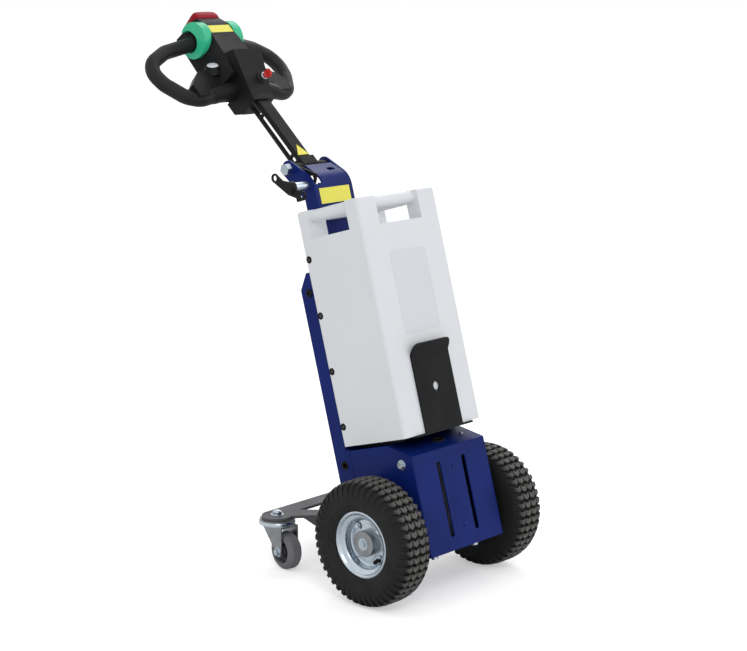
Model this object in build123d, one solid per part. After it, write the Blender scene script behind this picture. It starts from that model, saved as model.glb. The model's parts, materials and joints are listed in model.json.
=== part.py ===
from build123d import *
import os
from math import atan2, cos, degrees, hypot, radians, sin, tan

# Millimetres, +Z up, the push face towards -Y, the tiller towards +Y.
# U and V run rearward and upward in the leaning chassis, measured from the axle line.

# Drive wheels: a 260 x 85 tyre on a four-inch rim
TYRE_R = 130.0
TYRE_W = 85.0
TYRE_GAP = 21.4
TYRE_WAIST_R = 95.0
TREAD_W = 72.0
TREAD_SINK = 1.0
LUG_DEPTH = 7.0
LUGS_PER_ROW = 36
LUG_FILL = 0.55
LUG_DRAFT = 0.06
CENTRE_GROOVE = 5.0
RIM_R = 52.0
RIM_INSET = 9.5
RIM_FLANGE_H = 16.0
RIM_SHEET = 3.0
DISC_X = 6.0
DISC_SHEET = 4.0
DISC_DISH = 6.0
HUB_PLATE = 66.0
HUB_PLATE_CORNER = 14.0
HUB_PLATE_PROUD = 2.0
HUB_R = 27.0
HUB_SET = 6.0
HUB_TAIL = 4.0
SHAFT_R = 12.5
SHAFT_NUT = 30.0
SHAFT_NUT_H = 5.0
BEARING_R = 40.0
BEARING_NECK_R = 26.0
BEARING_PLATE = 5.0
BEARING_DEPTH = 11.0

# Leaning chassis box of folded sheet
LEAN = 15.8
SHEET = 3.0
BOX_HALF = 113.5
FRONT_U = -92.5
SKIRT_V = -56.0
DECK_V = 179.0
SHOULDER_DROP = 28.0
SHOULDER_RUN = 60.5
PANEL_REAR_U = 75.5
SEAM = 0.5
SLOT_X = 38.6
SLOT_W = 12.0
SLOT_L = 156.0
SLOT_MID_V = 49.0
DOWEL_R = 2.5
DOWEL_V = (110.7, -14.0)
BASE_PLATE = 4.0
PORT_GAP = 6.0

# Drive unit, one block for motor and gears with an axle tube to each side
DRIVE_GAP = 6.5
DRIVE_TUBE_R = 46.0
DRIVE_TUBE_L = 24.0
DRIVE_HALF_U = 62.0
DRIVE_DROP = 29.0
SHAFT_ENGAGE = 14.0
END_PLAY = 2.0

# Back channel behind the battery
WEB_SET = 10.5
FLANGE_DEPTH = 34.0
FLANGE_CUT = (24.0, 32.0)
BACK_DROP = 124.4
DECK_STEP = 2.0
HITCH_BORE_R = 5.2
HITCH_SET = 10.0
HITCH_V = 150.0

# Battery tray with an upright front tongue
TRAY_PLATE = 4.0
TRAY_INSET = 29.9
RUNNER_H = 5.75
RUNNER_X = 70.0
RUNNER_W = 20.0
TONGUE_HALF = 57.0
TONGUE_H = 156.25
LIP_RISE = 23.0
LIP_OUT = 14.0
TONGUE_CORNER = 16.0
KEYHOLE_H = 88.25
KEYHOLE_R = 9.0
KEYHOLE_SLOT = (5.0, 26.0)

# Battery case with four pillars and grab bars between them
CASE_OVERHANG = 4.4
CASE_SET = 1.6
CASE_DEPTH = 175.4
CASE_H = 490.65
CASE_CORNER = 6.5
CASE_EDGE = 5.0
CROWN_DEPTH = 59.0
PILLAR_X = 54.0
PILLAR_U = (35.0, 27.0)
BAR_R = 12.0
BAR_INSET = 20.0
BAR_DROP = 13.0
BAR_ROOT = 2.0

# Steering column, a folded web with a hood and two cheeks that carry the pivot
COLUMN_HALF = 56.0
COLUMN_PLATE = 4.0
COLUMN_DEPTH = 26.0
COLUMN_LAP = 115.0
JOG_STEP = 9.0
JOG_RISE = 16.0
JOG_CLEAR = 12.0
BEND_RISE = 65.6
NECK_DROP = 40.0
BEND_R = 48.0
HOOD_RUN = 42.0
HOOD_RISE = 34.0
HOOD_LEFT = 27.0
HOOD_CUT = 10.0
HOOD_PORT = (22.0, 11.0)
HOOD_PORT_X = 26.0
HOOD_PORT_SHARE = 0.56
NOTCH_W = 16.0
NOTCH_H = 45.0
PIVOT_BACK = 52.0
PIVOT_RISE = 32.0
PIVOT_R = 7.0
PIVOT_HEX = 22.0
PIVOT_HEAD = 17.0
PIVOT_NUT = 9.0
PIVOT_TAIL = 3.0
CHEEK_TIP_R = 19.0
CHEEK_TIP_SET = 5.0

# Index sleeve and its wing lever on the left cheek
INDEX_BACK = 13.0
INDEX_DROP = 11.5
SLEEVE_R = 11.0
SLEEVE_L = 42.0
LEVER_R = 16.0
LEVER_H = 14.0
LEVER_ARMS = (48.0, 37.0)
LEVER_EYE_R = 10.0
LEVER_EYE = (14.0, 8.0)
LEVER_PLATE = 6.0
LEVER_TURN = 36.0

# Tiller, measured from the pivot: Y is behind it and Z along it
TILLER_RISE = 42.5
TUBE_HALF = 17.5
TUBE_FRONT = 8.5
TUBE_BACK = 4.0
TUBE_START = 10.0
TUBE_LAP = 25.0
SOCKET_WALL = 4.0
SOCKET_TOP = 22.0
BARREL_R = 11.5
BARREL_PLAY = 1.0
CONDUIT_R = 5.0
CONDUIT_X = -10.0
CONDUIT_Y = 20.5
CLIP_HALF = 3.0
CLIP_SHARES = (0.107, 0.821)
SECTOR_INSET = 6.0
SECTOR_PLATE = 5.0
SECTOR_RIM = 12.0
SECTOR_LEAD = 12.0
SECTOR_FLARE = 60.0
INDEX_PITCH = 17.0
INDEX_HOLES = 4
INDEX_HOLE_R = 6.5

# Control head
NOSE_END = 434.0
NOSE_LEN = 244.0
NOSE_TOP = 27.0
NOSE_BACK = 50.0
NOSE_RAMP = 110.0
NOSE_SCOOP = 29.0
NOSE_CHAMFER = 15.0
SPINE_HALF = 31.5
NOSE_BASE_HALF = 53.0
NOSE_TAPER = 4.3
CHIN_HALF = 32.0
CHIN_RISE = 40.0
WING_FRONT = 14.0
WING_BACK = 44.0
WING_TIP_X = 137.0
WING_TIP_SET = 164.0
WING_SHOULDER_X = 97.0
WING_SET = 128.0
WING_LOW_SET = 198.0
GRIP_R = 16.0
GRIP_Y = 10.8
GRIP_SPLAY = 10.4
GRIP_BEND = 42.0
GRIP_LINE = (
    (24.0, 40.0),
    (132.0, 51.0),
    (175.0, 70.5),
    (191.0, 98.0),
    (183.0, 134.0),
    (154.5, 178.0),
    (126.0, 194.0),
    (24.0, 186.0),
)
PADDLE_IN = 34.0
PADDLE_OUT = 57.0
PADDLE_MOUTH = 45.0
PADDLE_Y = 10.0
PADDLE_R = 40.0
PADDLE_SET = 43.0
PADDLE_BITE_R = 22.0
BUTTON_HALF = 36.0
BUTTON_H = 17.0
BUTTON_CROWN = 10.0
BUTTON_FRONT = 15.0
BUTTON_LIP = 5.0
KEY_BOX_LOW = 7.5
KEY_BOX_HIGH = 110.0
KEY_BOX_LIP = 14.0
KEY_BOX_CHIN = 11.9
KEY_BOX_BROW = 53.4
KEY_BOX_LOW_HALF = 28.4
KEY_BOX_HIGH_HALF = 41.0
KEY_BARREL_R = 11.0
KEY_BARREL_L = 12.0
KEY_X = 15.0
KEY_RISE = 47.0
KEY_BOW_W = 18.0
KEY_BOW_L = 20.0
KEY_BOW_T = 4.0
SIDE_BUTTON_R = 14.5
SIDE_BUTTON_H = 4.0
SIDE_BUTTON_ROOT = 14.0
SIDE_BUTTON_AT = (-56.0, 6.0, -123.0)
SIDE_BUTTON_AIM = (-0.23, -0.84, 0.48)
OUTLET_X = -8.0
OUTLET_W = 44.0
OUTLET_DEPTH = 8.0
OUTLET_H = 32.0
OUTLET_RISE = 20.0

# Rear casters under a V-shaped carrier
SWIVEL_X = 134.0
SWIVEL_Y = 314.0
CARRIER_PLATE = 6.0
CARRIER_APEX_Y = 174.0
CARRIER_EDGE = 16.0
CARRIER_BAR = 8.0
CARRIER_ARM = 43.0
CARRIER_WINDOW_X = 76.0
CARRIER_TAIL_HALF = 24.0
CARRIER_FOOT_HALF = 45.0
CARRIER_FOOT_V = (-54.0, 30.0)
CARRIER_FOOT = 5.0
GUSSET_X = 20.0
GUSSET_H = 40.0
RIB_REACH = 137.0
RIB_RUN = 55.0
HUB_PAD_R = 33.0
CASTER_R = 40.0
CASTER_W = 33.0
CASTER_TRAIL = 34.0
CASTER_HEADING = 10.0
CASTER_HEADROOM = 24.0
CASTER_SHOULDER = 7.0
CASTER_CORE_R = 26.0
CASTER_WEB = 12.0
CASTER_HUB_R = 14.0
CASTER_HUB_INSET = 1.0
CASTER_AXLE_R = 5.0
LEG_FRONT = 32.0
LEG_BACK = 46.0
LEG_EYE_R = 12.0
FORK_GAP = 2.5
FORK_SHEET = 3.0
RING_R = 37.5
RING_H = 12.0
KING_R = 6.0
KING_HEX = 19.0
NUT_HEX = 13.0
NUT_H = 7.0

CLEAR = 0.4
FACE_GAP = 0.3
PIN_FIT = 0.1
CUT_PAST = 1.0
BEND_SHARE = 0.98

BODY = Location((0, 0, TYRE_R), (-LEAN, 0, 0))
WEB_U = PANEL_REAR_U + WEB_SET
CASE_TOP_V = DECK_V + RUNNER_H + TRAY_PLATE + CASE_H
BACK_TOP_V = CASE_TOP_V - BACK_DROP
BEND_V = CASE_TOP_V + BEND_RISE
PIVOT_U = WEB_U + PIVOT_BACK
PIVOT_V = BEND_V + PIVOT_RISE
PIVOT = BODY * Pos(0, PIVOT_U, PIVOT_V)
TILLER = Location(PIVOT.position, (TILLER_RISE - 90, 0, 0))
NOSE_START = NOSE_END - NOSE_LEN
TUBE_END = NOSE_START + TUBE_LAP
SIDES = ((-1, "left"), (1, "right"))
pieces = {}


def outline(points, rounds=()):
    """A flat outline; rounds holds (corner number, radius) pairs."""
    face = Polygon(*points, align=None)
    for corner, radius in rounds:
        face = fillet(face.vertices().sort_by_distance(points[corner])[0], radius)
    return face


def slab(points, x0, x1, rounds=()):
    """A flat piece outlined in side view and thick across X."""
    return extrude(Plane.YZ.offset(x0) * outline(points, rounds), amount=x1 - x0, dir=(1, 0, 0))


def sided(side, x0, x1):
    """Limits across X on one side, in rising order."""
    return sorted((side * x0, side * x1))


def across(shape, x0, x1):
    """A side-view sketch made thick across X."""
    return extrude(Plane.YZ.offset(x0) * shape, amount=x1 - x0, dir=(1, 0, 0))


def rod_x(y, z, r, x0, x1):
    """A round bar along X."""
    return across(Pos(y, z) * Circle(r), x0, x1)


def hex_x(y, z, flats, x0, x1):
    """A hexagon bar along X, sized across its flats."""
    return across(Pos(y, z) * RegularPolygon(flats / 2, 6, major_radius=False), x0, x1)


def rod_z(r, z0, z1):
    """A round bar along Z."""
    return extrude(Pos(0, 0, z0) * Circle(r), amount=z1 - z0)


def block(x, y, z):
    """A box between pairs of limits."""
    size = Box(x[1] - x[0], y[1] - y[0], z[1] - z[0])
    return Pos((x[0] + x[1]) / 2, (y[0] + y[1]) / 2, (z[0] + z[1]) / 2) * size


def plan(points, z0, z1):
    """A flat piece outlined from above."""
    return extrude(Pos(0, 0, z0) * Polygon(*points, align=None), amount=z1 - z0, dir=(0, 0, 1))


def front(shape, y0, y1):
    """A front-view sketch made thick along Y."""
    return extrude(Plane.XZ.offset(-y0) * shape, amount=y1 - y0, dir=(0, 1, 0))


def ring_x(profile):
    """A turned piece about X from (x, radius) pairs."""
    return revolve(Polygon(*profile, align=None), axis=Axis.X)


def bend_limit(points):
    """A corner radius that every run of a path has room for."""
    runs = [Vector(*b) - Vector(*a) for a, b in zip(points, points[1:])]
    turns = [tan(radians(a.get_angle(b)) / 2) for a, b in zip(runs, runs[1:])]
    turns = [0.0] + turns + [0.0]
    return min(BEND_SHARE * run.length / (a + b) for run, a, b in zip(runs, turns, turns[1:]))


def paired(solid):
    """A solid and its mirror image, as two separate solids."""
    return solid + mirror(solid, about=Plane.YZ)


# Chassis: a folded cover over front and deck, with a panel on each side
panel_in = BOX_HALF - SHEET
shoulder_v = DECK_V - SHOULDER_DROP
shoulder_u = FRONT_U + SHOULDER_RUN
slope = hypot(SHOULDER_RUN, SHOULDER_DROP)
slope_v = SHEET * (slope - SHOULDER_RUN) / SHOULDER_DROP
slope_u = SHEET * (slope - SHOULDER_DROP) / SHOULDER_RUN
outer_line = [(FRONT_U, SKIRT_V), (FRONT_U, shoulder_v), (shoulder_u, DECK_V), (PANEL_REAR_U, DECK_V)]
inner_line = [
    (PANEL_REAR_U, DECK_V - SHEET),
    (shoulder_u + slope_v, DECK_V - SHEET),
    (FRONT_U + SHEET, shoulder_v - slope_u),
    (FRONT_U + SHEET, SKIRT_V),
]
cover = slab(outer_line + inner_line, -panel_in, panel_in)
for side, name in SIDES:
    slot = Pos(side * SLOT_X, SLOT_MID_V) * SlotOverall(SLOT_L, SLOT_W, rotation=90)
    cover -= front(slot, FRONT_U - SHEET, FRONT_U + 2 * SHEET)
for v in DOWEL_V:
    cover -= front(Pos(0, v) * Circle(DOWEL_R), FRONT_U - SHEET, FRONT_U + 2 * SHEET)
pieces["front_cover"] = BODY * cover

flange_u = WEB_U + FLANGE_DEPTH
flange_foot = PANEL_REAR_U + SEAM
flange_line = [
    (flange_foot, SKIRT_V),
    (flange_u, SKIRT_V),
    (flange_u, BACK_TOP_V - FLANGE_CUT[1]),
    (flange_u - FLANGE_CUT[0], BACK_TOP_V),
    (WEB_U, BACK_TOP_V),
    (WEB_U, DECK_V + DECK_STEP),
    (flange_foot, DECK_V + DECK_STEP),
]
for side, name in SIDES:
    inner, outer = sided(side, panel_in, BOX_HALF)
    panel = slab(outer_line + [(PANEL_REAR_U, SKIRT_V)], inner, outer)
    panel -= rod_x(0, 0, SHAFT_R + PORT_GAP, inner - SHEET, outer + SHEET)
    pieces["side_panel_" + name] = BODY * panel
    flange = slab(flange_line, inner, outer)
    flange -= rod_x(WEB_U + HITCH_SET, HITCH_V, HITCH_BORE_R, inner - SHEET, outer + SHEET)
    pieces["back_flange_" + name] = BODY * flange
web = block((-panel_in, panel_in), (WEB_U, WEB_U + SHEET), (SKIRT_V, BACK_TOP_V))
pieces["back_web"] = BODY * web
base_top = SKIRT_V + BASE_PLATE
pieces["base_plate"] = BODY * block((-panel_in, panel_in), (FRONT_U + SHEET, WEB_U), (SKIRT_V, base_top))

# Drive unit on the base plate
drive_half = panel_in - DRIVE_GAP
gear_half = drive_half - DRIVE_TUBE_L
drive = rod_x(0, 0, DRIVE_TUBE_R, -drive_half, drive_half)
drive += block((-gear_half, gear_half), (-DRIVE_HALF_U, DRIVE_HALF_U), (base_top, DECK_V - DRIVE_DROP))
for side, name in SIDES:
    inner, outer = sided(side, drive_half - SHAFT_ENGAGE - END_PLAY, drive_half)
    drive -= rod_x(0, 0, SHAFT_R + CLEAR, inner, outer)
pieces["drive_unit"] = BODY * drive

# Drive wheels, drawn about their own centres
wheel_x = BOX_HALF + TYRE_GAP + TYRE_W / 2
rim_half = TYRE_W / 2 - RIM_INSET
flange_r = RIM_R + RIM_FLANGE_H
barrel_r = RIM_R - RIM_SHEET
root_r = TYRE_R - LUG_DEPTH
bead_half = rim_half - RIM_SHEET - FACE_GAP
half_section = [
    (bead_half, RIM_R + FACE_GAP),
    (bead_half, flange_r + FACE_GAP),
    (TYRE_W / 2, TYRE_WAIST_R),
    (TREAD_W / 2, root_r - TREAD_SINK),
]
tyre = ring_x(half_section + [(-x, r) for x, r in reversed(half_section)])
pitch = 360.0 / LUGS_PER_ROW
rows = [(-TREAD_W / 2, -CENTRE_GROOVE / 2, 0.0), (CENTRE_GROOVE / 2, TREAD_W / 2, pitch / 2)]
lug_corners = [
    (root_r, 0.0),
    (root_r, 1 - LUG_FILL),
    (TYRE_R, 1 - LUG_FILL + LUG_DRAFT),
    (TYRE_R, 1 - LUG_DRAFT),
]
for x0, x1, phase in rows:
    lug_line = []
    for lug in range(LUGS_PER_ROW):
        for r, share in lug_corners:
            angle = radians(phase + pitch * (lug + share))
            lug_line.append((r * cos(angle), r * sin(angle)))
    tyre += slab(lug_line, x0, x1) - rod_x(0, 0, root_r - LUG_DEPTH, x0, x1)

bore_r = SHAFT_R + FACE_GAP
rim = ring_x([
    (-rim_half, flange_r),
    (-rim_half, barrel_r),
    (DISC_X + DISC_DISH - DISC_SHEET, barrel_r),
    (DISC_X - DISC_SHEET, HUB_R),
    (-rim_half - HUB_TAIL, HUB_R),
    (-rim_half - HUB_TAIL, bore_r),
    (rim_half - HUB_SET, bore_r),
    (rim_half - HUB_SET, HUB_R),
    (DISC_X, HUB_R),
    (DISC_X + DISC_DISH, barrel_r - RIM_SHEET),
    (rim_half - RIM_SHEET, barrel_r),
    (rim_half, RIM_R),
    (rim_half, flange_r),
    (rim_half - RIM_SHEET, flange_r),
    (rim_half - RIM_SHEET, RIM_R),
    (RIM_SHEET - rim_half, RIM_R),
    (RIM_SHEET - rim_half, flange_r),
])
hub_plate = RectangleRounded(HUB_PLATE, HUB_PLATE, HUB_PLATE_CORNER) - Circle(HUB_R - RIM_SHEET)
rim += across(hub_plate, DISC_X - DISC_SHEET / 2, DISC_X + DISC_DISH + HUB_PLATE_PROUD)
hub_face = rim_half - HUB_SET
shaft = rod_x(0, 0, SHAFT_R, drive_half - SHAFT_ENGAGE - wheel_x, hub_face)
shaft += hex_x(0, 0, SHAFT_NUT, hub_face, hub_face + SHAFT_NUT_H)
for label, solid in (("tyre", tyre), ("rim", rim), ("axle_shaft", shaft)):
    right = Pos(wheel_x, 0, TYRE_R) * solid
    pieces[label + "_left"] = mirror(right, about=Plane.YZ)
    pieces[label + "_right"] = right
bearing = ring_x([
    (BOX_HALF, SHAFT_R + CLEAR),
    (BOX_HALF, BEARING_R),
    (BOX_HALF + BEARING_PLATE, BEARING_R),
    (BOX_HALF + BEARING_DEPTH, BEARING_NECK_R),
    (BOX_HALF + BEARING_DEPTH, SHAFT_R + CLEAR),
])
pieces["axle_bearings"] = Pos(0, 0, TYRE_R) * paired(bearing)

# Battery tray on two runners, with a bent tongue up the front of the case
case_half = BOX_HALF + CASE_OVERHANG
case_back = WEB_U - CASE_SET
case_front = case_back - CASE_DEPTH
tray_half = case_half - TRAY_INSET
tray_low = DECK_V + RUNNER_H
case_foot = tray_low + TRAY_PLATE
tray_front = case_front - TRAY_PLATE
tray = block((-tray_half, tray_half), (tray_front, case_back), (tray_low, case_foot))
for side, name in SIDES:
    runner = sided(side, RUNNER_X - RUNNER_W / 2, RUNNER_X + RUNNER_W / 2)
    tray += block(runner, (shoulder_u, PANEL_REAR_U), (DECK_V, tray_low))
tongue_top = case_foot + TONGUE_H
lip_top = tongue_top + LIP_RISE
tongue_back = case_front - FACE_GAP
tongue = slab([
    (tray_front, tray_low),
    (tray_front, tongue_top),
    (tray_front - LIP_OUT, lip_top),
    (tongue_back - LIP_OUT, lip_top + TRAY_PLATE / 2),
    (tongue_back, tongue_top + TRAY_PLATE / 2),
    (tongue_back, tray_low),
], -TONGUE_HALF, TONGUE_HALF)
mask_h = 2 * (lip_top - tray_low)
mask_mid = lip_top + TRAY_PLATE / 2 - mask_h / 2
mask = Pos(0, mask_mid) * RectangleRounded(2 * TONGUE_HALF, mask_h, TONGUE_CORNER)
tongue &= front(mask, tray_front - 2 * LIP_OUT, case_front)
keyhole = Pos(0, case_foot + KEYHOLE_H) * (Circle(KEYHOLE_R) + Rectangle(*KEYHOLE_SLOT))
tongue -= front(keyhole, tray_front - LIP_OUT, case_front)
pieces["battery_tray"] = BODY * (tray + tongue)

# Battery case
crown_floor = CASE_TOP_V - CROWN_DEPTH
case_mid = (case_front + case_back) / 2
footprint = Pos(0, case_mid, case_foot) * RectangleRounded(2 * case_half, CASE_DEPTH, CASE_CORNER)
crown = extrude(footprint, amount=CASE_H)
crown = fillet(crown.faces().sort_by(Axis.Z)[-1].edges(), CASE_EDGE)
gap_x = case_half - PILLAR_X
gap_u = (case_front + PILLAR_U[0], case_back - PILLAR_U[1])
past_top = (crown_floor, CASE_TOP_V + CUT_PAST)
crown -= block((-gap_x, gap_x), (case_front - CUT_PAST, case_back + CUT_PAST), past_top)
crown -= block((-case_half - CUT_PAST, case_half + CUT_PAST), gap_u, past_top)
case = crown
bar_v = CASE_TOP_V - BAR_DROP
bar_u = (gap_u[0] - BAR_ROOT, gap_u[1] + BAR_ROOT)
for side, name in SIDES:
    case += front(Pos(side * (case_half - BAR_INSET), bar_v) * Circle(BAR_R), *bar_u)
for u in (case_front + BAR_INSET, case_back - BAR_INSET):
    case += rod_x(u, bar_v, BAR_R, -gap_x - BAR_ROOT, gap_x + BAR_ROOT)
pieces["battery_case"] = BODY * case

# Column: web, forward step and hood in one folded strip, and a cheek on each side
column_base = BACK_TOP_V + SEAM
column_u = WEB_U - JOG_STEP
jog_low = crown_floor + JOG_CLEAR
jog_high = jog_low + JOG_RISE
jog_drop = COLUMN_PLATE * tan(atan2(JOG_STEP, JOG_RISE) / 2)
hood_turn = atan2(HOOD_RUN, HOOD_RISE)
hood_drop = COLUMN_PLATE * tan(hood_turn / 2)
hood_end = (column_u + HOOD_RUN, BEND_V + HOOD_RISE)
strip = slab([
    (WEB_U, column_base),
    (WEB_U, jog_low),
    (column_u, jog_high),
    (column_u, BEND_V),
    hood_end,
    (hood_end[0] + COLUMN_PLATE * cos(hood_turn), hood_end[1] - COLUMN_PLATE * sin(hood_turn)),
    (column_u + COLUMN_PLATE, BEND_V - hood_drop),
    (column_u + COLUMN_PLATE, jog_high + jog_drop),
    (WEB_U + COLUMN_PLATE, jog_low + jog_drop),
    (WEB_U + COLUMN_PLATE, column_base),
], -COLUMN_HALF, COLUMN_HALF, rounds=[(3, BEND_R), (6, BEND_R - COLUMN_PLATE)])
cut_low = BEND_V - HOOD_CUT
cut_u = (column_u - CUT_PAST, hood_end[0] + COLUMN_PLATE)
strip -= block((-COLUMN_HALF, HOOD_LEFT - COLUMN_HALF), cut_u, (cut_low, hood_end[1] + CUT_PAST))
strip -= block((-COLUMN_HALF, NOTCH_W - COLUMN_HALF), cut_u, (BEND_V - NOTCH_H, cut_low))
port_at = (column_u + HOOD_PORT_SHARE * HOOD_RUN, BEND_V + HOOD_PORT_SHARE * HOOD_RISE)
port = Pos(HOOD_PORT_X, *port_at) * Rot(90 - degrees(hood_turn), 0, 0) * SlotOverall(*HOOD_PORT)
strip -= extrude(port, amount=3 * COLUMN_PLATE, both=True)
tip_u = PIVOT_U + CHEEK_TIP_SET
tip_rear = radians(LEAN + LEAN)
cheek_foot = BACK_TOP_V - COLUMN_LAP
cheek_line = [
    (WEB_U + SHEET, cheek_foot),
    (WEB_U + COLUMN_DEPTH, cheek_foot),
    (WEB_U + COLUMN_DEPTH, BEND_V - NECK_DROP),
    (tip_u + CHEEK_TIP_R * cos(tip_rear), PIVOT_V - CHEEK_TIP_R * sin(tip_rear)),
    (tip_u - CHEEK_TIP_R * cos(hood_turn), PIVOT_V + CHEEK_TIP_R * sin(hood_turn)),
    (column_u, BEND_V),
    (column_u, jog_high),
    (WEB_U, jog_low),
    (WEB_U, column_base),
    (WEB_U + SHEET, column_base),
]
column = strip
for side, name in SIDES:
    inner, outer = sided(side, COLUMN_HALF - COLUMN_PLATE, COLUMN_HALF)
    cheek = slab(cheek_line, inner, outer, rounds=[(5, BEND_R)])
    cheek += rod_x(tip_u, PIVOT_V, CHEEK_TIP_R, inner, outer)
    column += cheek - rod_x(PIVOT_U, PIVOT_V, PIVOT_R + CLEAR, inner, outer)
pieces["column"] = BODY * column

pivot = rod_x(PIVOT_U, PIVOT_V, PIVOT_R, -COLUMN_HALF, COLUMN_HALF + PIVOT_NUT + PIVOT_TAIL)
pivot += hex_x(PIVOT_U, PIVOT_V, PIVOT_HEX, -COLUMN_HALF - PIVOT_HEAD, -COLUMN_HALF)
pivot += hex_x(PIVOT_U, PIVOT_V, PIVOT_HEX, COLUMN_HALF, COLUMN_HALF + PIVOT_NUT)
pieces["pivot_bolt"] = BODY * pivot

# Index sleeve with its wing lever
index = (WEB_U + INDEX_BACK, BEND_V - INDEX_DROP)
sleeve_end = -COLUMN_HALF - SLEEVE_L
pieces["index_sleeve"] = BODY * rod_x(*index, SLEEVE_R, sleeve_end, -COLUMN_HALF)
arm = Circle(LEVER_R)
for eye_x in (LEVER_ARMS[0], -LEVER_ARMS[1]):
    arm += make_hull(Circle(LEVER_R).edges() + (Pos(eye_x, 0) * Circle(LEVER_EYE_R)).edges())
for eye_x in (LEVER_ARMS[0], -LEVER_ARMS[1]):
    arm -= Pos(eye_x, 0) * SlotOverall(*LEVER_EYE, rotation=90)
arm = Pos(*index) * Rot(0, 0, LEVER_TURN) * arm
lever = across(arm, sleeve_end - LEVER_PLATE - END_PLAY, sleeve_end - END_PLAY)
lever += rod_x(*index, LEVER_R, sleeve_end - LEVER_H, sleeve_end)
pieces["wing_lever"] = BODY * lever

# Tiller bracket: barrel on the pivot, tube socket and index sector
sector_out = -COLUMN_HALF + SECTOR_INSET
index_reach = hypot(PIVOT_U - index[0], PIVOT_V - index[1])
sector_r = index_reach + SECTOR_RIM
index_turn = degrees(atan2(index[1] - PIVOT_V, index[0] - PIVOT_U)) % 360
first_hole = index_turn - INDEX_PITCH - LEAN + 90 - TILLER_RISE
span = (first_hole - SECTOR_LEAD, first_hole + (INDEX_HOLES - 1) * INDEX_PITCH + SECTOR_LEAD)


def polar(r, angle):
    """A point at a radius and an angle in degrees."""
    return (r * cos(radians(angle)), r * sin(radians(angle)))


rim_arc = ThreePointArc(polar(sector_r, span[0]), polar(sector_r, sum(span) / 2), polar(sector_r, span[1]))
roots = (polar(BARREL_R, span[1] + SECTOR_FLARE), polar(BARREL_R, span[0] - SECTOR_FLARE))
sector_sides = Polyline(rim_arc @ 1, *roots, rim_arc @ 0)
sector = make_face(rim_arc.edges() + sector_sides.edges())
for step in range(INDEX_HOLES):
    sector -= Pos(*polar(index_reach, first_hole + step * INDEX_PITCH)) * Circle(INDEX_HOLE_R)
bracket = across(sector, sector_out, sector_out + SECTOR_PLATE)
barrel_half = COLUMN_HALF - COLUMN_PLATE - BARREL_PLAY
bracket += rod_x(0, 0, BARREL_R, -barrel_half, barrel_half)
socket_half = TUBE_HALF + SOCKET_WALL
socket_y = (-TUBE_FRONT - SOCKET_WALL, CONDUIT_Y + CONDUIT_R)
bracket += block((-socket_half, socket_half), socket_y, (0, SOCKET_TOP))
bracket -= rod_x(0, 0, PIVOT_R + CLEAR, -barrel_half, barrel_half)
bracket -= block((-TUBE_HALF, TUBE_HALF), (-TUBE_FRONT, TUBE_BACK), (TUBE_START, SOCKET_TOP))
pieces["tiller_bracket"] = TILLER * bracket
tube = block((-TUBE_HALF, TUBE_HALF), (-TUBE_FRONT, TUBE_BACK), (TUBE_START, TUBE_END))
pieces["tiller_tube"] = TILLER * tube
conduit = Pos(CONDUIT_X, CONDUIT_Y, 0) * rod_z(CONDUIT_R, SOCKET_TOP, NOSE_START)
for share in CLIP_SHARES:
    z = SOCKET_TOP + share * (NOSE_START - SOCKET_TOP)
    clip = (CONDUIT_X - CLIP_HALF, CONDUIT_X + CLIP_HALF)
    conduit += block(clip, (TUBE_BACK, CONDUIT_Y), (z, z + 2 * CLIP_HALF))
pieces["tiller_conduit"] = TILLER * conduit

# Head body: a tapering nose with sloped sides, and a wing towards the loops
spread = NOSE_LEN * tan(radians(NOSE_TAPER))
side_slope = (NOSE_BASE_HALF - SPINE_HALF) / (NOSE_TOP + NOSE_BACK)
nose_line = [
    (-TUBE_FRONT - SOCKET_WALL, NOSE_START),
    (-NOSE_TOP, NOSE_START + NOSE_RAMP),
    (-NOSE_TOP, NOSE_END - NOSE_SCOOP),
    (-BUTTON_FRONT, NOSE_END),
    (NOSE_BACK, NOSE_END),
    (NOSE_BACK, NOSE_START + NOSE_CHAMFER),
    (NOSE_BACK - NOSE_CHAMFER, NOSE_START),
]
prism_line = []
for side, y in ((-1, NOSE_BACK), (-1, -NOSE_TOP), (1, -NOSE_TOP), (1, NOSE_BACK)):
    reach = y * 2
    half = SPINE_HALF + side_slope * (NOSE_TOP + reach) + spread
    prism_line.append((side * half, reach))
nose = slab(nose_line, -2 * NOSE_BASE_HALF, 2 * NOSE_BASE_HALF)
nose &= extrude(Pos(0, 0, NOSE_START) * Polygon(*prism_line, align=None), amount=NOSE_LEN, taper=NOSE_TAPER)
base_half = NOSE_BASE_HALF + spread
chin_line = [(-CHIN_HALF, NOSE_START), (-base_half, NOSE_START + CHIN_RISE), (-base_half, NOSE_END)]
chin_line += [(-x, z) for x, z in reversed(chin_line)]
nose &= front(Polygon(*chin_line, align=None), -2 * NOSE_TOP, 2 * NOSE_BACK)
wing_line = [
    (0, NOSE_END - WING_LOW_SET),
    (WING_TIP_X, NOSE_END - WING_LOW_SET),
    (WING_TIP_X, NOSE_END - WING_TIP_SET),
    (WING_SHOULDER_X, NOSE_END - WING_SET),
    (0, NOSE_END - WING_SET),
]
wing = front(Polygon(*wing_line, align=None), WING_FRONT, WING_BACK)
head = nose + wing + mirror(wing, about=Plane.YZ)
tube_hole = block((-TUBE_HALF, TUBE_HALF), (-TUBE_FRONT, TUBE_BACK), (NOSE_START, TUBE_END))
pieces["head_body"] = TILLER * (head - tube_hole)

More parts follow.
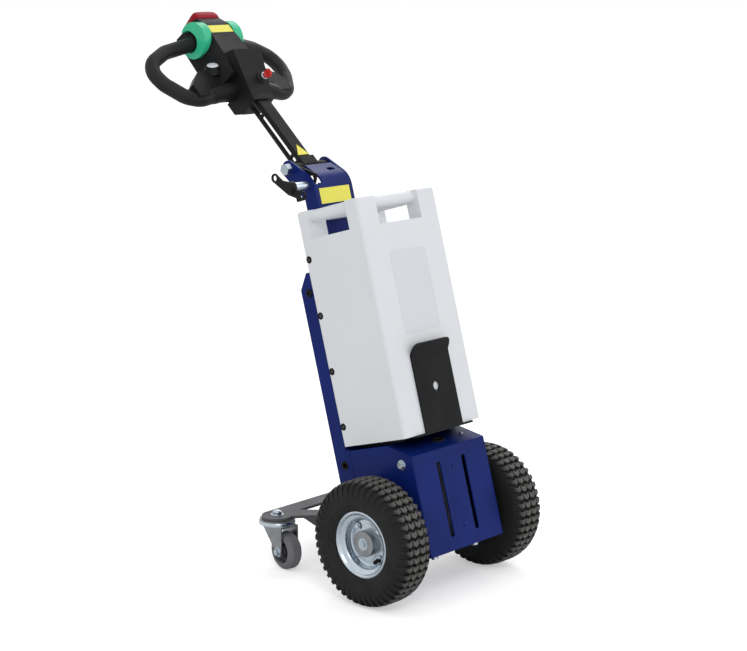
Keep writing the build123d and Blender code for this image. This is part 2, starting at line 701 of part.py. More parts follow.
# Loop grips: round bar bent out of the nose, splayed back, and in again under the wing
grip_points = [(x, NOSE_END - back) for x, back in GRIP_LINE]
grip_line = FilletPolyline(*grip_points, radius=min(GRIP_BEND, bend_limit(grip_points)))
grip_path = Pos(0, GRIP_Y, 0) * Rot(0, 0, GRIP_SPLAY) * (Plane.XZ * grip_line)
grip = sweep(Plane(origin=grip_path @ 0, z_dir=grip_path % 0) * Circle(GRIP_R), path=grip_path)
pieces["loop_grips"] = TILLER * paired(grip - head)

# Thumb paddles: hooks round the grips, seated on the sides of the nose
paddle_x = (PADDLE_IN + PADDLE_OUT) / 2
bite = Pos(GRIP_Y + paddle_x * tan(radians(GRIP_SPLAY)), NOSE_END - GRIP_LINE[0][1])
hook = Pos(PADDLE_Y, NOSE_END - PADDLE_SET) * Circle(PADDLE_R)
hook -= bite * Circle(PADDLE_BITE_R)
hook -= bite * Rot(0, 0, PADDLE_MOUTH) * Pos(PADDLE_R, 0) * Rectangle(2 * PADDLE_R, 2 * PADDLE_BITE_R)
pieces["thumb_paddles"] = TILLER * paired(across(hook, PADDLE_IN, PADDLE_OUT) - nose)

# Belly button: a crowned cap over the end of the nose
button_top = NOSE_END + BUTTON_H + BUTTON_CROWN
button = slab([
    (-BUTTON_FRONT, NOSE_END),
    (-BUTTON_FRONT, button_top - BUTTON_LIP),
    (0, button_top),
    (NOSE_BACK - BUTTON_FRONT, button_top - BUTTON_LIP),
    (NOSE_BACK + BUTTON_LIP, NOSE_END + BUTTON_LIP),
    (NOSE_BACK, NOSE_END),
], -BUTTON_HALF, BUTTON_HALF)
brow = ThreePointArc((-BUTTON_HALF, NOSE_END + BUTTON_H), (0, button_top), (BUTTON_HALF, NOSE_END + BUTTON_H))
foot_line = Polyline(brow @ 1, (BUTTON_HALF, NOSE_END), (-BUTTON_HALF, NOSE_END), brow @ 0)
button &= front(make_face(brow.edges() + foot_line.edges()), -NOSE_BACK, 2 * NOSE_BACK)
pieces["belly_button"] = TILLER * button

# Key box with its lock and key, the side button and the charging outlet
key_side = slab([
    (-KEY_BOX_CHIN, NOSE_START + KEY_BOX_LOW),
    (-KEY_BOX_BROW, NOSE_START + KEY_BOX_HIGH),
    (-NOSE_TOP, NOSE_START + KEY_BOX_HIGH + KEY_BOX_LIP),
    (0, NOSE_START + KEY_BOX_HIGH + KEY_BOX_LIP),
    (0, NOSE_START + KEY_BOX_LOW),
], -2 * KEY_BOX_HIGH_HALF, 2 * KEY_BOX_HIGH_HALF)
key_line = [
    (KEY_BOX_LOW_HALF, NOSE_START),
    (KEY_BOX_HIGH_HALF, NOSE_START + KEY_BOX_HIGH),
    (KEY_BOX_HIGH_HALF, NOSE_END),
]
key_line += [(-x, z) for x, z in reversed(key_line)]
key_box = key_side & front(Polygon(*key_line, align=None), -2 * KEY_BOX_BROW, 0)
pieces["key_box"] = TILLER * (key_box - nose)
key_slope = (KEY_BOX_BROW - KEY_BOX_CHIN) / (KEY_BOX_HIGH - KEY_BOX_LOW)
key_y = -KEY_BOX_CHIN - key_slope * (KEY_RISE - KEY_BOX_LOW)
key_seat = Location((KEY_X, key_y, NOSE_START + KEY_RISE), (degrees(atan2(key_slope, 1)), 0, 0))
barrel = front(Circle(KEY_BARREL_R), -KEY_BARREL_L, 0)
pieces["key_switch"] = TILLER * key_seat * barrel
bow = (-KEY_BARREL_L - KEY_BOW_L, -KEY_BARREL_L)
key_bow = block((-KEY_BOW_T / 2, KEY_BOW_T / 2), bow, (-KEY_BOW_W / 2, KEY_BOW_W / 2))
pieces["key"] = TILLER * key_seat * key_bow
button_seat = Pos(0, 0, NOSE_END) * Plane(origin=SIDE_BUTTON_AT, z_dir=SIDE_BUTTON_AIM).location
side_button = rod_z(SIDE_BUTTON_R, -SIDE_BUTTON_ROOT, SIDE_BUTTON_H)
side_button = button_seat * chamfer(side_button.faces().sort_by(Axis.Z)[-1].edges(), SIDE_BUTTON_H / 2)
pieces["side_button"] = TILLER * (side_button - nose - mirror(wing, about=Plane.YZ))
outlet = (OUTLET_X - OUTLET_W / 2, OUTLET_X + OUTLET_W / 2)
outlet_z = (NOSE_START + OUTLET_RISE, NOSE_START + OUTLET_RISE + OUTLET_H)
pieces["head_socket"] = TILLER * block(outlet, (NOSE_BACK, NOSE_BACK + OUTLET_DEPTH), outlet_z)

# Caster carrier: a V plate with a cross bar, ribs, two gussets and a foot on the back web
lower = 2 * CASTER_R + CASTER_HEADROOM
upper = lower + CARRIER_PLATE
rear_y = SWIVEL_Y + HUB_PAD_R
edge_y = SWIVEL_Y - CARRIER_EDGE
plate = plan([
    (-SWIVEL_X, rear_y),
    (-SWIVEL_X, edge_y),
    (0, CARRIER_APEX_Y),
    (SWIVEL_X, edge_y),
    (SWIVEL_X, rear_y),
], lower, upper)
for side, name in SIDES:
    plate += Pos(side * SWIVEL_X, SWIVEL_Y, 0) * rod_z(HUB_PAD_R, lower, upper)
bar_y = SWIVEL_Y - CARRIER_BAR
window = [(-CARRIER_WINDOW_X, bar_y), (CARRIER_WINDOW_X, bar_y), (0, CARRIER_APEX_Y + CARRIER_ARM)]
plate -= plan(window, lower, upper)
tail = (-CARRIER_TAIL_HALF, CARRIER_TAIL_HALF)
plate += block(tail, (0, CARRIER_APEX_Y + CARRIER_ARM - 2 * CARRIER_PLATE), (lower, upper))
for side, name in SIDES:
    inner, outer = sided(side, GUSSET_X - CARRIER_PLATE / 2, GUSSET_X + CARRIER_PLATE / 2)
    gusset = [
        (WEB_U, lower - GUSSET_H),
        (WEB_U, lower),
        (CARRIER_APEX_Y, lower),
        (CARRIER_APEX_Y, lower - CARRIER_PLATE),
    ]
    plate += slab(gusset, inner, outer)
arm_turn = degrees(atan2(SWIVEL_X, edge_y - CARRIER_APEX_Y))
for side, name in SIDES:
    rib = slab([
        (GUSSET_X, lower - GUSSET_H),
        (GUSSET_X, lower),
        (RIB_REACH, lower),
        (RIB_REACH - RIB_RUN, lower - GUSSET_H),
    ], *sided(-side, 0, CARRIER_PLATE))
    plate += Pos(0, CARRIER_APEX_Y, 0) * Rot(0, 0, -side * arm_turn) * rib
ahead = BODY * block((-SWIVEL_X, SWIVEL_X), (WEB_U - SWIVEL_Y, WEB_U + SHEET), (-SWIVEL_Y, SWIVEL_Y))
plate -= ahead
foot = (-CARRIER_FOOT_HALF, CARRIER_FOOT_HALF)
plate += BODY * block(foot, (WEB_U + SHEET, WEB_U + SHEET + CARRIER_FOOT), CARRIER_FOOT_V)
for side, name in SIDES:
    plate -= Pos(side * SWIVEL_X, SWIVEL_Y, 0) * rod_z(KING_R + CLEAR, lower, upper)
pieces["caster_carrier"] = plate

# Casters: fork with a swivel ring, wheel, axle bolt and king bolt
fork_in = CASTER_W / 2 + FORK_GAP
fork_out = fork_in + FORK_SHEET
ring_top = lower - FACE_GAP
ring_low = ring_top - RING_H
fork = rod_z(RING_R, ring_low, ring_top)
fork += block((-fork_out, fork_out), (-LEG_BACK, LEG_FRONT), (ring_low, ring_low + FORK_SHEET))
leg = outline([
    (-LEG_BACK, ring_low + FORK_SHEET),
    (LEG_FRONT, ring_low + FORK_SHEET),
    (LEG_EYE_R - CASTER_TRAIL, CASTER_R),
    (-LEG_EYE_R - CASTER_TRAIL, CASTER_R),
])
leg += Pos(-CASTER_TRAIL, CASTER_R) * Circle(LEG_EYE_R)
leg -= Pos(-CASTER_TRAIL, CASTER_R) * Circle(CASTER_AXLE_R + PIN_FIT)
for side, name in SIDES:
    fork += across(leg, *sided(side, fork_in, fork_out))
fork -= rod_z(KING_R + CLEAR, ring_low, ring_top)
tread_half = CASTER_W / 2
tread = ring_x([
    (-tread_half, CASTER_CORE_R),
    (-tread_half, CASTER_R - CASTER_SHOULDER),
    (CASTER_SHOULDER - tread_half, CASTER_R),
    (tread_half - CASTER_SHOULDER, CASTER_R),
    (tread_half, CASTER_R - CASTER_SHOULDER),
    (tread_half, CASTER_CORE_R),
])
hub_half = tread_half - CASTER_HUB_INSET
core_r = CASTER_CORE_R - PIN_FIT
hub = ring_x([
    (-hub_half, CASTER_AXLE_R + CLEAR),
    (-hub_half, CASTER_HUB_R),
    (-CASTER_WEB / 2, CASTER_HUB_R),
    (-CASTER_WEB / 2, core_r),
    (CASTER_WEB / 2, core_r),
    (CASTER_WEB / 2, CASTER_HUB_R),
    (hub_half, CASTER_HUB_R),
    (hub_half, CASTER_AXLE_R + CLEAR),
])
axle = rod_x(0, 0, CASTER_AXLE_R, -fork_out, fork_out)
for side, name in SIDES:
    axle += hex_x(0, 0, NUT_HEX, *sided(side, fork_out, fork_out + NUT_H))
king = rod_z(KING_R, ring_low - NUT_H, upper)
king_nut = extrude(RegularPolygon(KING_HEX / 2, 6, major_radius=False), amount=NUT_H)
for z in (upper, ring_low - NUT_H - FACE_GAP):
    king += Pos(0, 0, z) * king_nut
kings = []
for side, name in SIDES:
    swivel = Location((side * SWIVEL_X, SWIVEL_Y, 0), (0, 0, -CASTER_HEADING))
    wheel = swivel * Pos(0, -CASTER_TRAIL, CASTER_R)
    pieces["caster_fork_" + name] = swivel * fork
    pieces["caster_tread_" + name] = wheel * tread
    pieces["caster_hub_" + name] = wheel * hub
    pieces["caster_axle_" + name] = wheel * axle
    kings.append(swivel * king)
pieces["caster_kings"] = kings[0] + kings[1]

# The origin is on the floor, under the middle of the whole machine
boxes = [piece.bounding_box() for piece in pieces.values()]
middle_y = (min(box.min.Y for box in boxes) + max(box.max.Y for box in boxes)) / 2
shift = Pos(0, -middle_y, 0)
os.makedirs("parts", exist_ok=True)
for name, piece in pieces.items():
    export_step(shift * piece, os.path.join("parts", name + ".step"))
print("pieces", len(pieces), "middle_y", middle_y)
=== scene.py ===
"""Looks of a walk-behind electric pusher for roll cages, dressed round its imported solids."""
import json
import logging
import math
from dataclasses import dataclass
from enum import Enum
from typing import Callable, Sequence

import bpy
from mathutils import Matrix, Vector

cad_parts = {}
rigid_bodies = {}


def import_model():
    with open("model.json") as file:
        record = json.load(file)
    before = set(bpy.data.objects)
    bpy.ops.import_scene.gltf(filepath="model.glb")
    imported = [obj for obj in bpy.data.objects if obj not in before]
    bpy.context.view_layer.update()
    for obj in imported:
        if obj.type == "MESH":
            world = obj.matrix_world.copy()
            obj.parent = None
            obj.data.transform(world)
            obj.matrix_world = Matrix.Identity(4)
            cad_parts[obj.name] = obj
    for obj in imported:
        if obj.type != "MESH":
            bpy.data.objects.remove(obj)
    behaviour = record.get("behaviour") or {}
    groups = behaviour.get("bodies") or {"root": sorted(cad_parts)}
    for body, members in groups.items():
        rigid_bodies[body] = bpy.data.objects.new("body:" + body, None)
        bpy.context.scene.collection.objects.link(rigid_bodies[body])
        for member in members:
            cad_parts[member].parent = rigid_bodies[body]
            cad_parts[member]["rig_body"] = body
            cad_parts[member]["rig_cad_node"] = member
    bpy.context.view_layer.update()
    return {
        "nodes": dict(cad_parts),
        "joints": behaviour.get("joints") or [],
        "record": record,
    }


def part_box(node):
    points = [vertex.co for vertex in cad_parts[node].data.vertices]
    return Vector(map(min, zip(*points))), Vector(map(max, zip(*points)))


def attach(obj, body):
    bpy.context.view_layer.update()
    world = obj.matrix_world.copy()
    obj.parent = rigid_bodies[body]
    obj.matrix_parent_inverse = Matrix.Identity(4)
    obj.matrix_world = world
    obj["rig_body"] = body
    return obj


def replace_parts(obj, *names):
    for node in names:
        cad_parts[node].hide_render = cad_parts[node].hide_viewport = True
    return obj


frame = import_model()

LOG = logging.getLogger("pusher")
MM = 0.001
FILM_THICK = 0.5
# How near points are merged, in new pieces and in copies of nodes, how flat a node's facets
# are joined, and how long a melted piece is smoothed
PIECE_MERGE = 0.01 * MM
NODE_MERGE = 0.005 * MM
NODE_FLAT = math.radians(1.0)
MELT_ROUNDS = 70
Point = Sequence[float]
Pair = tuple[float, float]
Spot = tuple[float, float, float]
Limits = tuple[float, float, float, float]
Profile = tuple[Pair, ...]
Piece = bpy.types.Object
Tree = bpy.types.NodeTree
Socket = bpy.types.NodeSocket
Test = Callable[[Vector, Vector], bool]

# The machine's own frames: the axle line, the leaning chassis and the tiller from its pivot
AXLE: Vector = (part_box("tyre_left")[0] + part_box("tyre_right")[1]) / 2
LEAN = math.radians(15.8)
RISE = math.radians(42.5)
LEVEL = Matrix.Translation(AXLE)
BODY = LEVEL @ Matrix.Rotation(-LEAN, 4, "X")
PIVOT = Vector(next(j["pos_m"] for j in frame["joints"] if j["name"] == "tiller_tilt"))
TILLER = Matrix.Translation(PIVOT) @ Matrix.Rotation(RISE - math.pi / 2, 4, "X")
# Turned pieces are spun about X: this stands them up along Z
UPRIGHT = Matrix.Rotation(-math.pi / 2, 4, "Y")


class Side(Enum):
    """The two sides of the machine, as signs across X."""

    LEFT = -1
    RIGHT = 1

    @property
    def word(self) -> str:
        """The side's name, as the node names end."""
        return self.name.lower()

    @property
    def mirror(self) -> Matrix:
        """What carries a piece of the right side to this side."""
        return Matrix.Diagonal((self.value, 1, 1, 1))


def linear(code: str) -> tuple[float, float, float, float]:
    """Turns an sRGB hex value to a linear colour.

    Args:
        code: Six hex digits.

    Returns:
        Linear red, green and blue, and an alpha of one.
    """
    parts = [int(code[k:k + 2], 16) / 255 for k in (0, 2, 4)]
    red, green, blue = (p / 12.92 if p <= 0.04045 else ((p + 0.055) / 1.055) ** 2.4 for p in parts)
    return red, green, blue, 1.0


def add_node(
    tree: Tree, kind: str, values: dict | None = None, links: dict | None = None
) -> bpy.types.Node:
    """Adds one node with its settings and links.

    Args:
        tree: The node tree of a material or world.
        kind: The node's type, without its common prefix.
        values: Sockets by name or number, or settings by name, with their values.
        links: Sockets by name or number, with the output that feeds each.

    Returns:
        The new node.
    """
    node = tree.nodes.new("ShaderNode" + kind)
    for key, value in (values or {}).items():
        if isinstance(key, int) or key in node.inputs:
            node.inputs[key].default_value = value
        else:
            setattr(node, key, value)
    for key, source in (links or {}).items():
        tree.links.new(source, node.inputs[key])
    return node


class Surface(Enum):
    """How a surface was made, which sets the pattern of its bump."""

    COATED = "sprayed powder that flowed out in the oven"
    MOULDED = "spark-eroded mould grain"
    FOAMED = "open pores of a dipped foam sleeve"
    PLATED = "bright plating over pressed steel"
    CAST = "sand-cast skin"


@dataclass(frozen=True)
class Finish:
    """One material of the machine.

    Args:
        name: Common name of the material and its making.
        slot: The record's slot that it belongs to.
        colour: Main sRGB colour.
        shade: Colour that the broad patches drift towards.
        rough: Roughness of the clean and of the handled patches.
        made: How the surface was made.
        grain: Size of the fine pattern in millimetres.
        bump: Height of the fine pattern in millimetres.
        metallic: One for bare metal.
        coat: Weight of a clear gloss on top.
        patch: Size of the broad patches in millimetres.
        shine: Level of the mirror part at the surface, from nought to one.
        drift: Where in the noise the patches start and are full.
        coat_rough: Roughness of the clear gloss.
    """

    name: str
    slot: str
    colour: str
    shade: str
    rough: Pair
    made: Surface
    grain: float
    bump: float
    metallic: float = 0.0
    coat: float = 0.0
    patch: float = 60.0
    shine: float = 0.5
    drift: Pair = (0.35, 0.7)
    coat_rough: float = 0.12

    def material(self) -> bpy.types.Material:
        """Builds the material once, and then hands out the same one.

        Returns:
            The material.
        """
        known = bpy.data.materials.get(self.name)
        if known:
            return known
        made = bpy.data.materials.new(self.name)
        made.use_nodes = True
        tree = made.node_tree
        tree.nodes.clear()
        place = add_node(tree, "TexCoord").outputs["Object"]
        broad = {"Scale": 1 / (self.patch * MM), "Detail": 4.0}
        patches = add_node(tree, "TexNoise", broad, {"Vector": place}).outputs[0]
        start, full = self.drift
        spread = add_node(tree, "MapRange", {1: start, 2: full}, {0: patches}).outputs[0]
        clean, handled = self.rough
        rough = add_node(tree, "MapRange", {3: clean, 4: handled}, {0: spread}).outputs[0]
        shader = add_node(
            tree,
            "BsdfPrincipled",
            {
                "Metallic": self.metallic,
                "Coat Weight": self.coat,
                "Coat Roughness": self.coat_rough,
                "Specular IOR Level": self.shine,
            },
            {
                "Base Color": self.tone(tree, place, spread),
                "Roughness": rough,
                "Normal": self.relief(tree, place),
            },
        )
        add_node(tree, "OutputMaterial", None, {"Surface": shader.outputs[0]})
        return made

    def tone(self, tree: Tree, place: Socket, spread: Socket) -> Socket:
        """Drifts the colour over broad patches.

        Args:
            tree: The material's nodes.
            place: Object coordinates; not used here.
            spread: The patches, from nought to one.

        Returns:
            The colour's socket.
        """
        both = {"data_type": "RGBA", 6: linear(self.colour), 7: linear(self.shade)}
        return add_node(tree, "Mix", both, {0: spread}).outputs[2]

    def relief(self, tree: Tree, place: Socket) -> Socket:
        """Gives the fine bump that the making leaves.

        Args:
            tree: The material's nodes.
            place: Object coordinates.

        Returns:
            The normal's socket.
        """
        fine = {"Scale": 1 / (self.grain * MM)}
        if self.made in (Surface.FOAMED, Surface.CAST):
            grain = add_node(tree, "TexVoronoi", fine, {"Vector": place}).outputs["Distance"]
        else:
            grain = add_node(tree, "TexNoise", fine, {"Vector": place}).outputs[0]
        depth = {"Strength": 1.0, "Distance": self.bump * MM}
        return add_node(tree, "Bump", depth, {"Height": grain}).outputs[0]


@dataclass(frozen=True)
class TyreRubber(Finish):
    """Rubber whose lug tops are scuffed grey, by their distance from the axle."""

    worn: str = "5a5957"
    worn_from: float = 124.4
    worn_full: float = 128.8

    def tone(self, tree: Tree, place: Socket, spread: Socket) -> Socket:
        """Greys the rubber towards the lug tops.

        Args:
            tree: The material's nodes.
            place: Object coordinates.
            spread: The patches, from nought to one.

        Returns:
            The colour's socket.
        """
        arm = add_node(tree, "VectorMath", {"operation": "SUBTRACT", 1: AXLE}, {0: place})
        flat = {"operation": "MULTIPLY", 1: (0, 1, 1)}
        arm = add_node(tree, "VectorMath", flat, {0: arm.outputs[0]})
        reach = add_node(tree, "VectorMath", {"operation": "LENGTH"}, {0: arm.outputs[0]})
        wear = {1: self.worn_from * MM, 2: self.worn_full * MM}
        top = add_node(tree, "MapRange", wear, {0: reach.outputs["Value"]}).outputs[0]
        grey = {"data_type": "RGBA", 7: linear(self.worn)}
        base = super().tone(tree, place, spread)
        return add_node(tree, "Mix", grey, {0: top, 6: base}).outputs[2]


# Polyester powder coat on sheet steel: deep blue, smooth gloss with a slight orange peel
BLUE = Finish(
    "powder coat blue", "blue_paint", "0e246e", "0b1e60", (0.28, 0.38), Surface.COATED, 1.6, 0.008,
    coat=0.04, patch=90.0, shine=0.1,
)
# Satin powder coat: near black, soft wide highlights
BLACK_COAT = Finish(
    "powder coat black", "black_paint", "1a1a1c", "161618", (0.42, 0.55), Surface.COATED, 1.2, 0.015,
    shine=0.12,
)
# The same coat greyed by dust on the caster carrier
GREY_COAT = Finish(
    "powder coat grey", "black_paint", "5c5c5e", "4e4e52", (0.45, 0.6), Surface.COATED, 1.2, 0.015,
    shine=0.3,
)
# Textured light ABS: matt, nearly white
CASE = Finish(
    "moulded ABS light grey", "case_plastic", "dfe2e6", "dcdfe3", (0.42, 0.5), Surface.MOULDED,
    1.1, 0.012, patch=120.0,
)
# Bright zinc plate: bluish silver, a little cloudy
ZINC = Finish(
    "zinc plated steel", "zinc", "c6d0d8", "b4c0ca", (0.22, 0.34), Surface.PLATED, 5.0, 0.01,
    metallic=1.0, patch=30.0,
)
# Zinc of the caster forks and hub caps, darker and rougher than the bright zinc
ZINC_DULL = Finish(
    "zinc passivated", "zinc", "96999b", "85898c", (0.34, 0.46), Surface.PLATED, 3.0, 0.015,
    metallic=1.0, patch=20.0,
)
# Spark-eroded black ABS: dark grey with a fine grain, drawn at 1 mm so that it shows
BLACK_ABS = Finish(
    "moulded ABS black", "black_plastic", "1b1b1d", "171719", (0.4, 0.52), Surface.MOULDED, 1.0, 0.02,
    shine=0.14,
)
# The same grain, greyed by dust on the case screws and the caster hubs
GREY_ABS = Finish(
    "moulded ABS grey", "black_plastic", "4a4a4c", "3e3e40", (0.45, 0.6), Surface.MOULDED, 1.0, 0.02,
    shine=0.3,
)
# Nitrile foam sleeve: soft, no gloss, fine pores
FOAM = Finish(
    "nitrile foam", "grip_foam", "18181a", "141416", (0.5, 0.65), Surface.FOAMED, 1.1, 0.03,
    shine=0.3,
)
# Gloss ABS in signal colours: clean, even and lightly polished
GREEN = Finish(
    "moulded ABS green", "green_plastic", "3ac898", "31ba8a", (0.28, 0.4), Surface.MOULDED, 2.0, 0.01,
    shine=0.35,
)
RED = Finish(
    "moulded ABS red", "red_plastic", "a21228", "8e0e20", (0.3, 0.42), Surface.MOULDED, 2.0, 0.01,
    shine=0.15,
)
# The key's bow, a lighter scarlet of the same plastic
SCARLET = Finish(
    "moulded ABS scarlet", "red_plastic", "cc332f", "b92a28", (0.3, 0.42), Surface.MOULDED, 2.0, 0.01,
    shine=0.3,
)
# Gloss white ABS of the side button
WHITE = Finish(
    "moulded ABS white", "white_plastic", "e0e2e8", "d4d7de", (0.25, 0.35), Surface.MOULDED, 2.0, 0.008
)
# Vulcanised tread rubber: black in the grooves with dusty, scuffed tops
TYRE = TyreRubber(
    "tyre rubber", "tyre_rubber", "1c1c1c", "171717", (0.6, 0.75), Surface.MOULDED, 1.4, 0.03,
    patch=35.0, shine=0.25,
)
# Thermoplastic rubber of the casters: mid grey and matt
CASTER = Finish(
    "caster rubber grey", "caster_rubber", "77777a", "68686b", (0.5, 0.65), Surface.MOULDED, 1.4, 0.02,
    shine=0.3,
)
# Cast housing of the drive: dull grey
ALLOY = Finish(
    "cast aluminium", "drive_alloy", "8b8d90", "77797c", (0.45, 0.6), Surface.CAST, 1.5, 0.05,
    metallic=1.0,
)
# Bare polyester film of the plates: clear yellow, slightly glossy
YELLOW = Finish(
    "film yellow", "white_plastic", "f2ea5c", "ece456", (0.3, 0.4), Surface.COATED, 3.0, 0.005,
    shine=0.3,
)
# The same film on the case: a shade off the plastic under it
FILM = Finish(
    "film pale", "white_plastic", "d6dadf", "d3d7dc", (0.32, 0.38), Surface.COATED, 3.0, 0.004,
    patch=200.0,
)
# Moulded rubber of grommet and valve: deep black, matt. The same black is painted shade in the hitch
# bores, on the rings round them and on the discs round the case screws
RUBBER_AND_PAINTED_SHADE = Finish(
    "moulded rubber black", "black_plastic", "0f0f10", "0c0c0d", (0.5, 0.65), Surface.MOULDED, 1.0, 0.02,
    shine=0.15,
)

# What a node of each slot has, where its piece names no other finish
USUAL = (
    BLUE, BLACK_COAT, CASE, ZINC, ALLOY, TYRE, BLACK_ABS, FOAM, GREEN, RED, CASTER, WHITE,
)
NODE_FINISH = {finish.slot: finish for finish in USUAL}


def bare() -> None:
    """Deselects everything in object mode, so that a new primitive stands alone."""
    if bpy.context.mode != "OBJECT":
        bpy.ops.object.mode_set(mode="OBJECT")
    bpy.ops.object.select_all(action="DESELECT")


def take(piece: Piece) -> None:
    """Selects one piece alone and makes it active, in object mode.

    Args:
        piece: The piece to take.
    """
    bare()
    piece.select_set(True)
    bpy.context.view_layer.objects.active = piece


def started() -> Piece:
    """Hands over the object that was just added, copied or joined."""
    return bpy.context.active_object


def unpicked(piece: Piece, kind: str) -> None:
    """Leaves a piece in object mode with nothing of its mesh selected.

    Args:
        piece: The piece to take.
        kind: What is selected next, faces or edges.
    """
    take(piece)
    bpy.ops.object.mode_set(mode="EDIT")
    bpy.ops.mesh.select_mode(type=kind)
    bpy.ops.mesh.select_all(action="DESELECT")
    bpy.ops.object.mode_set(mode="OBJECT")


def pick(piece: Piece, test: Test) -> None:
    """Opens a piece in edit mode with some faces selected.

    Args:
        piece: The piece to open.
        test: Given a face's centre and normal, says whether it is selected.
    """
    unpicked(piece, "FACE")
    for face in piece.data.polygons:
        face.select = test(face.center, face.normal)
    bpy.ops.object.mode_set(mode="EDIT")


def pick_edges(piece: Piece, test: Test) -> None:
    """Opens a piece in edit mode with some edges selected.

    Args:
        piece: The piece to open.
        test: Given an edge's two ends, says whether it is selected.
    """
    unpicked(piece, "EDGE")
    spots = [v.co for v in piece.data.vertices]
    for edge in piece.data.edges:
        edge.select = test(spots[edge.vertices[0]], spots[edge.vertices[1]])
    bpy.ops.object.mode_set(mode="EDIT")


def bevel_edges(piece: Piece, test: Test, width: float, segments: int) -> None:
    """Bevels some edges of a piece.

    Args:
        piece: The piece, left in object mode.
        test: Given an edge's two ends, says whether it is bevelled.
        width: Width of the bevel in millimetres.
        segments: Faces across the bevel.
    """
    pick_edges(piece, test)
    bpy.ops.mesh.bevel(offset=width * MM, segments=segments)
    bpy.ops.object.mode_set(mode="OBJECT")


def close_up(piece: Piece) -> None:
    """Merges doubled points and turns the faces outwards.

    Args:
        piece: The piece to close.
    """
    take(piece)
    bpy.ops.object.mode_set(mode="EDIT")
    bpy.ops.mesh.select_all(action="SELECT")
    bpy.ops.mesh.remove_doubles(threshold=PIECE_MERGE)
    bpy.ops.mesh.normals_make_consistent(inside=False)
    bpy.ops.object.mode_set(mode="OBJECT")


def modify(piece: Piece, kind: str, **settings: object) -> None:
    """Adds one modifier and applies it.

    Args:
        piece: The piece to change.
        kind: The modifier's type.
        **settings: The modifier's settings by name.
    """
    take(piece)
    modifier = piece.modifiers.new(kind, kind)
    for key, value in settings.items():
        setattr(modifier, key, value)
    bpy.ops.object.modifier_apply(modifier=modifier.name)


def cut_out(piece: Piece, cutter: Piece) -> None:
    """Cuts one piece out of another.

    Args:
        piece: The piece that stays.
        cutter: The piece that is cut out of it and then removed.
    """
    modify(piece, "BOOLEAN", operation="DIFFERENCE", object=cutter, solver="EXACT")
    bpy.data.objects.remove(cutter)


def joined(pieces: Sequence[Piece]) -> Piece:
    """Joins pieces into the first one.

    Args:
        pieces: The pieces, of which the first is kept.

    Returns:
        The piece that holds them all.
    """
    take(pieces[0])
    for piece in pieces[1:]:
        piece.select_set(True)
    bpy.ops.object.join()
    return started()


def copied(piece: Piece) -> Piece:
    """Copies a piece with a mesh of its own.

    Args:
        piece: The piece to copy.

    Returns:
        The copy.
    """
    take(piece)
    bpy.ops.object.duplicate(linked=False)
    return started()


def placed(piece: Piece, place: Matrix) -> Piece:
    """Carries a piece to its place and puts the place into its mesh.

    Args:
        piece: A piece that was modelled about the origin.
        place: Where it goes.

    Returns:
        The same piece, at the origin and unturned.
    """
    take(piece)
    piece.matrix_world = place @ piece.matrix_world
    bpy.ops.object.transform_apply(location=True, rotation=True, scale=True)
    if place.determinant() < 0:
        close_up(piece)
    return piece


def dressed(piece: Piece, name: str, body: str, finish: Finish, smooth: float = 35.0) -> Piece:
    """Names a finished piece, paints it and seats it on its body.

    Args:
        piece: The piece, in its place.
        name: The piece's name.
        body: The body that it moves with.
        finish: Its finish.
        smooth: Shading turns sharp above this angle, in degrees.

    Returns:
        The same piece.
    """
    take(piece)
    piece.name = name
    piece.data.name = name
    piece.data.materials.clear()
    piece.data.materials.append(finish.material())
    bpy.ops.object.shade_smooth_by_angle(angle=math.radians(smooth))
    modify(piece, "WEIGHTED_NORMAL", keep_sharp=True)
    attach(piece, body)
    LOG.info("%s on %s in %s", name, body, finish.name)
    return piece


def strand(points: Sequence[Point]) -> Piece:
    """Starts a chain of edges through points, each extruded from the last.

    Args:
        points: The points in millimetres.

    Returns:
        The chain, left in edit mode with all of it selected.
    """
    bare()
    bpy.ops.mesh.primitive_plane_add(size=MM)
    piece = started()
    bpy.ops.object.mode_set(mode="EDIT")
    bpy.ops.mesh.select_mode(type="VERT")
    bpy.ops.mesh.select_all(action="SELECT")
    bpy.ops.mesh.merge(type="CENTER")
    bpy.ops.transform.translate(value=Vector(points[0]) * MM)
    for before, after in zip(points, points[1:]):
        step = (Vector(after) - Vector(before)) * MM
        bpy.ops.mesh.extrude_region_move(TRANSFORM_OT_translate={"value": step})
    bpy.ops.mesh.select_all(action="SELECT")
    return piece


def lathe(profile: Sequence[Pair], steps: int = 48) -> Piece:
    """Spins a profile about X.

    Args:
        profile: Points along X and out from it, in millimetres.
        steps: Faces round the piece.

    Returns:
        The turned piece, in object mode.
    """
    piece = strand([(x, 0, r) for x, r in profile])
    bpy.ops.mesh.spin(steps=steps, angle=2 * math.pi, center=(0, 0, 0), axis=(1, 0, 0))
    close_up(piece)
    return piece


def both_halves(half: Profile) -> list[Pair]:
    """Mirrors a profile that ends in the middle of the wheel.

    Args:
        half: The outer half, from its edge to the middle.

    Returns:
        The whole profile, from edge to edge.
    """
    return list(half) + [(-x, r) for x, r in reversed(half[:-1])]


def rectangle(x0: float, x1: float, y0: float, y1: float) -> list[Pair]:
    """Lists the corners of a rectangle, given its limits."""
    return [(x0, y0), (x1, y0), (x1, y1), (x0, y1)]


def plate(points: Sequence[Pair], thick: float) -> Piece:
    """Cuts a flat plate in the XY plane and raises it along Z.

    Args:
        points: The outline in millimetres.
        thick: The thickness in millimetres.

    Returns:
        The plate, in object mode.
    """
    piece = strand([(x, y, 0) for x, y in points])
    bpy.ops.mesh.edge_face_add()
    bpy.ops.mesh.extrude_region_move(TRANSFORM_OT_translate={"value": (0, 0, thick * MM)})
    close_up(piece)
    return piece


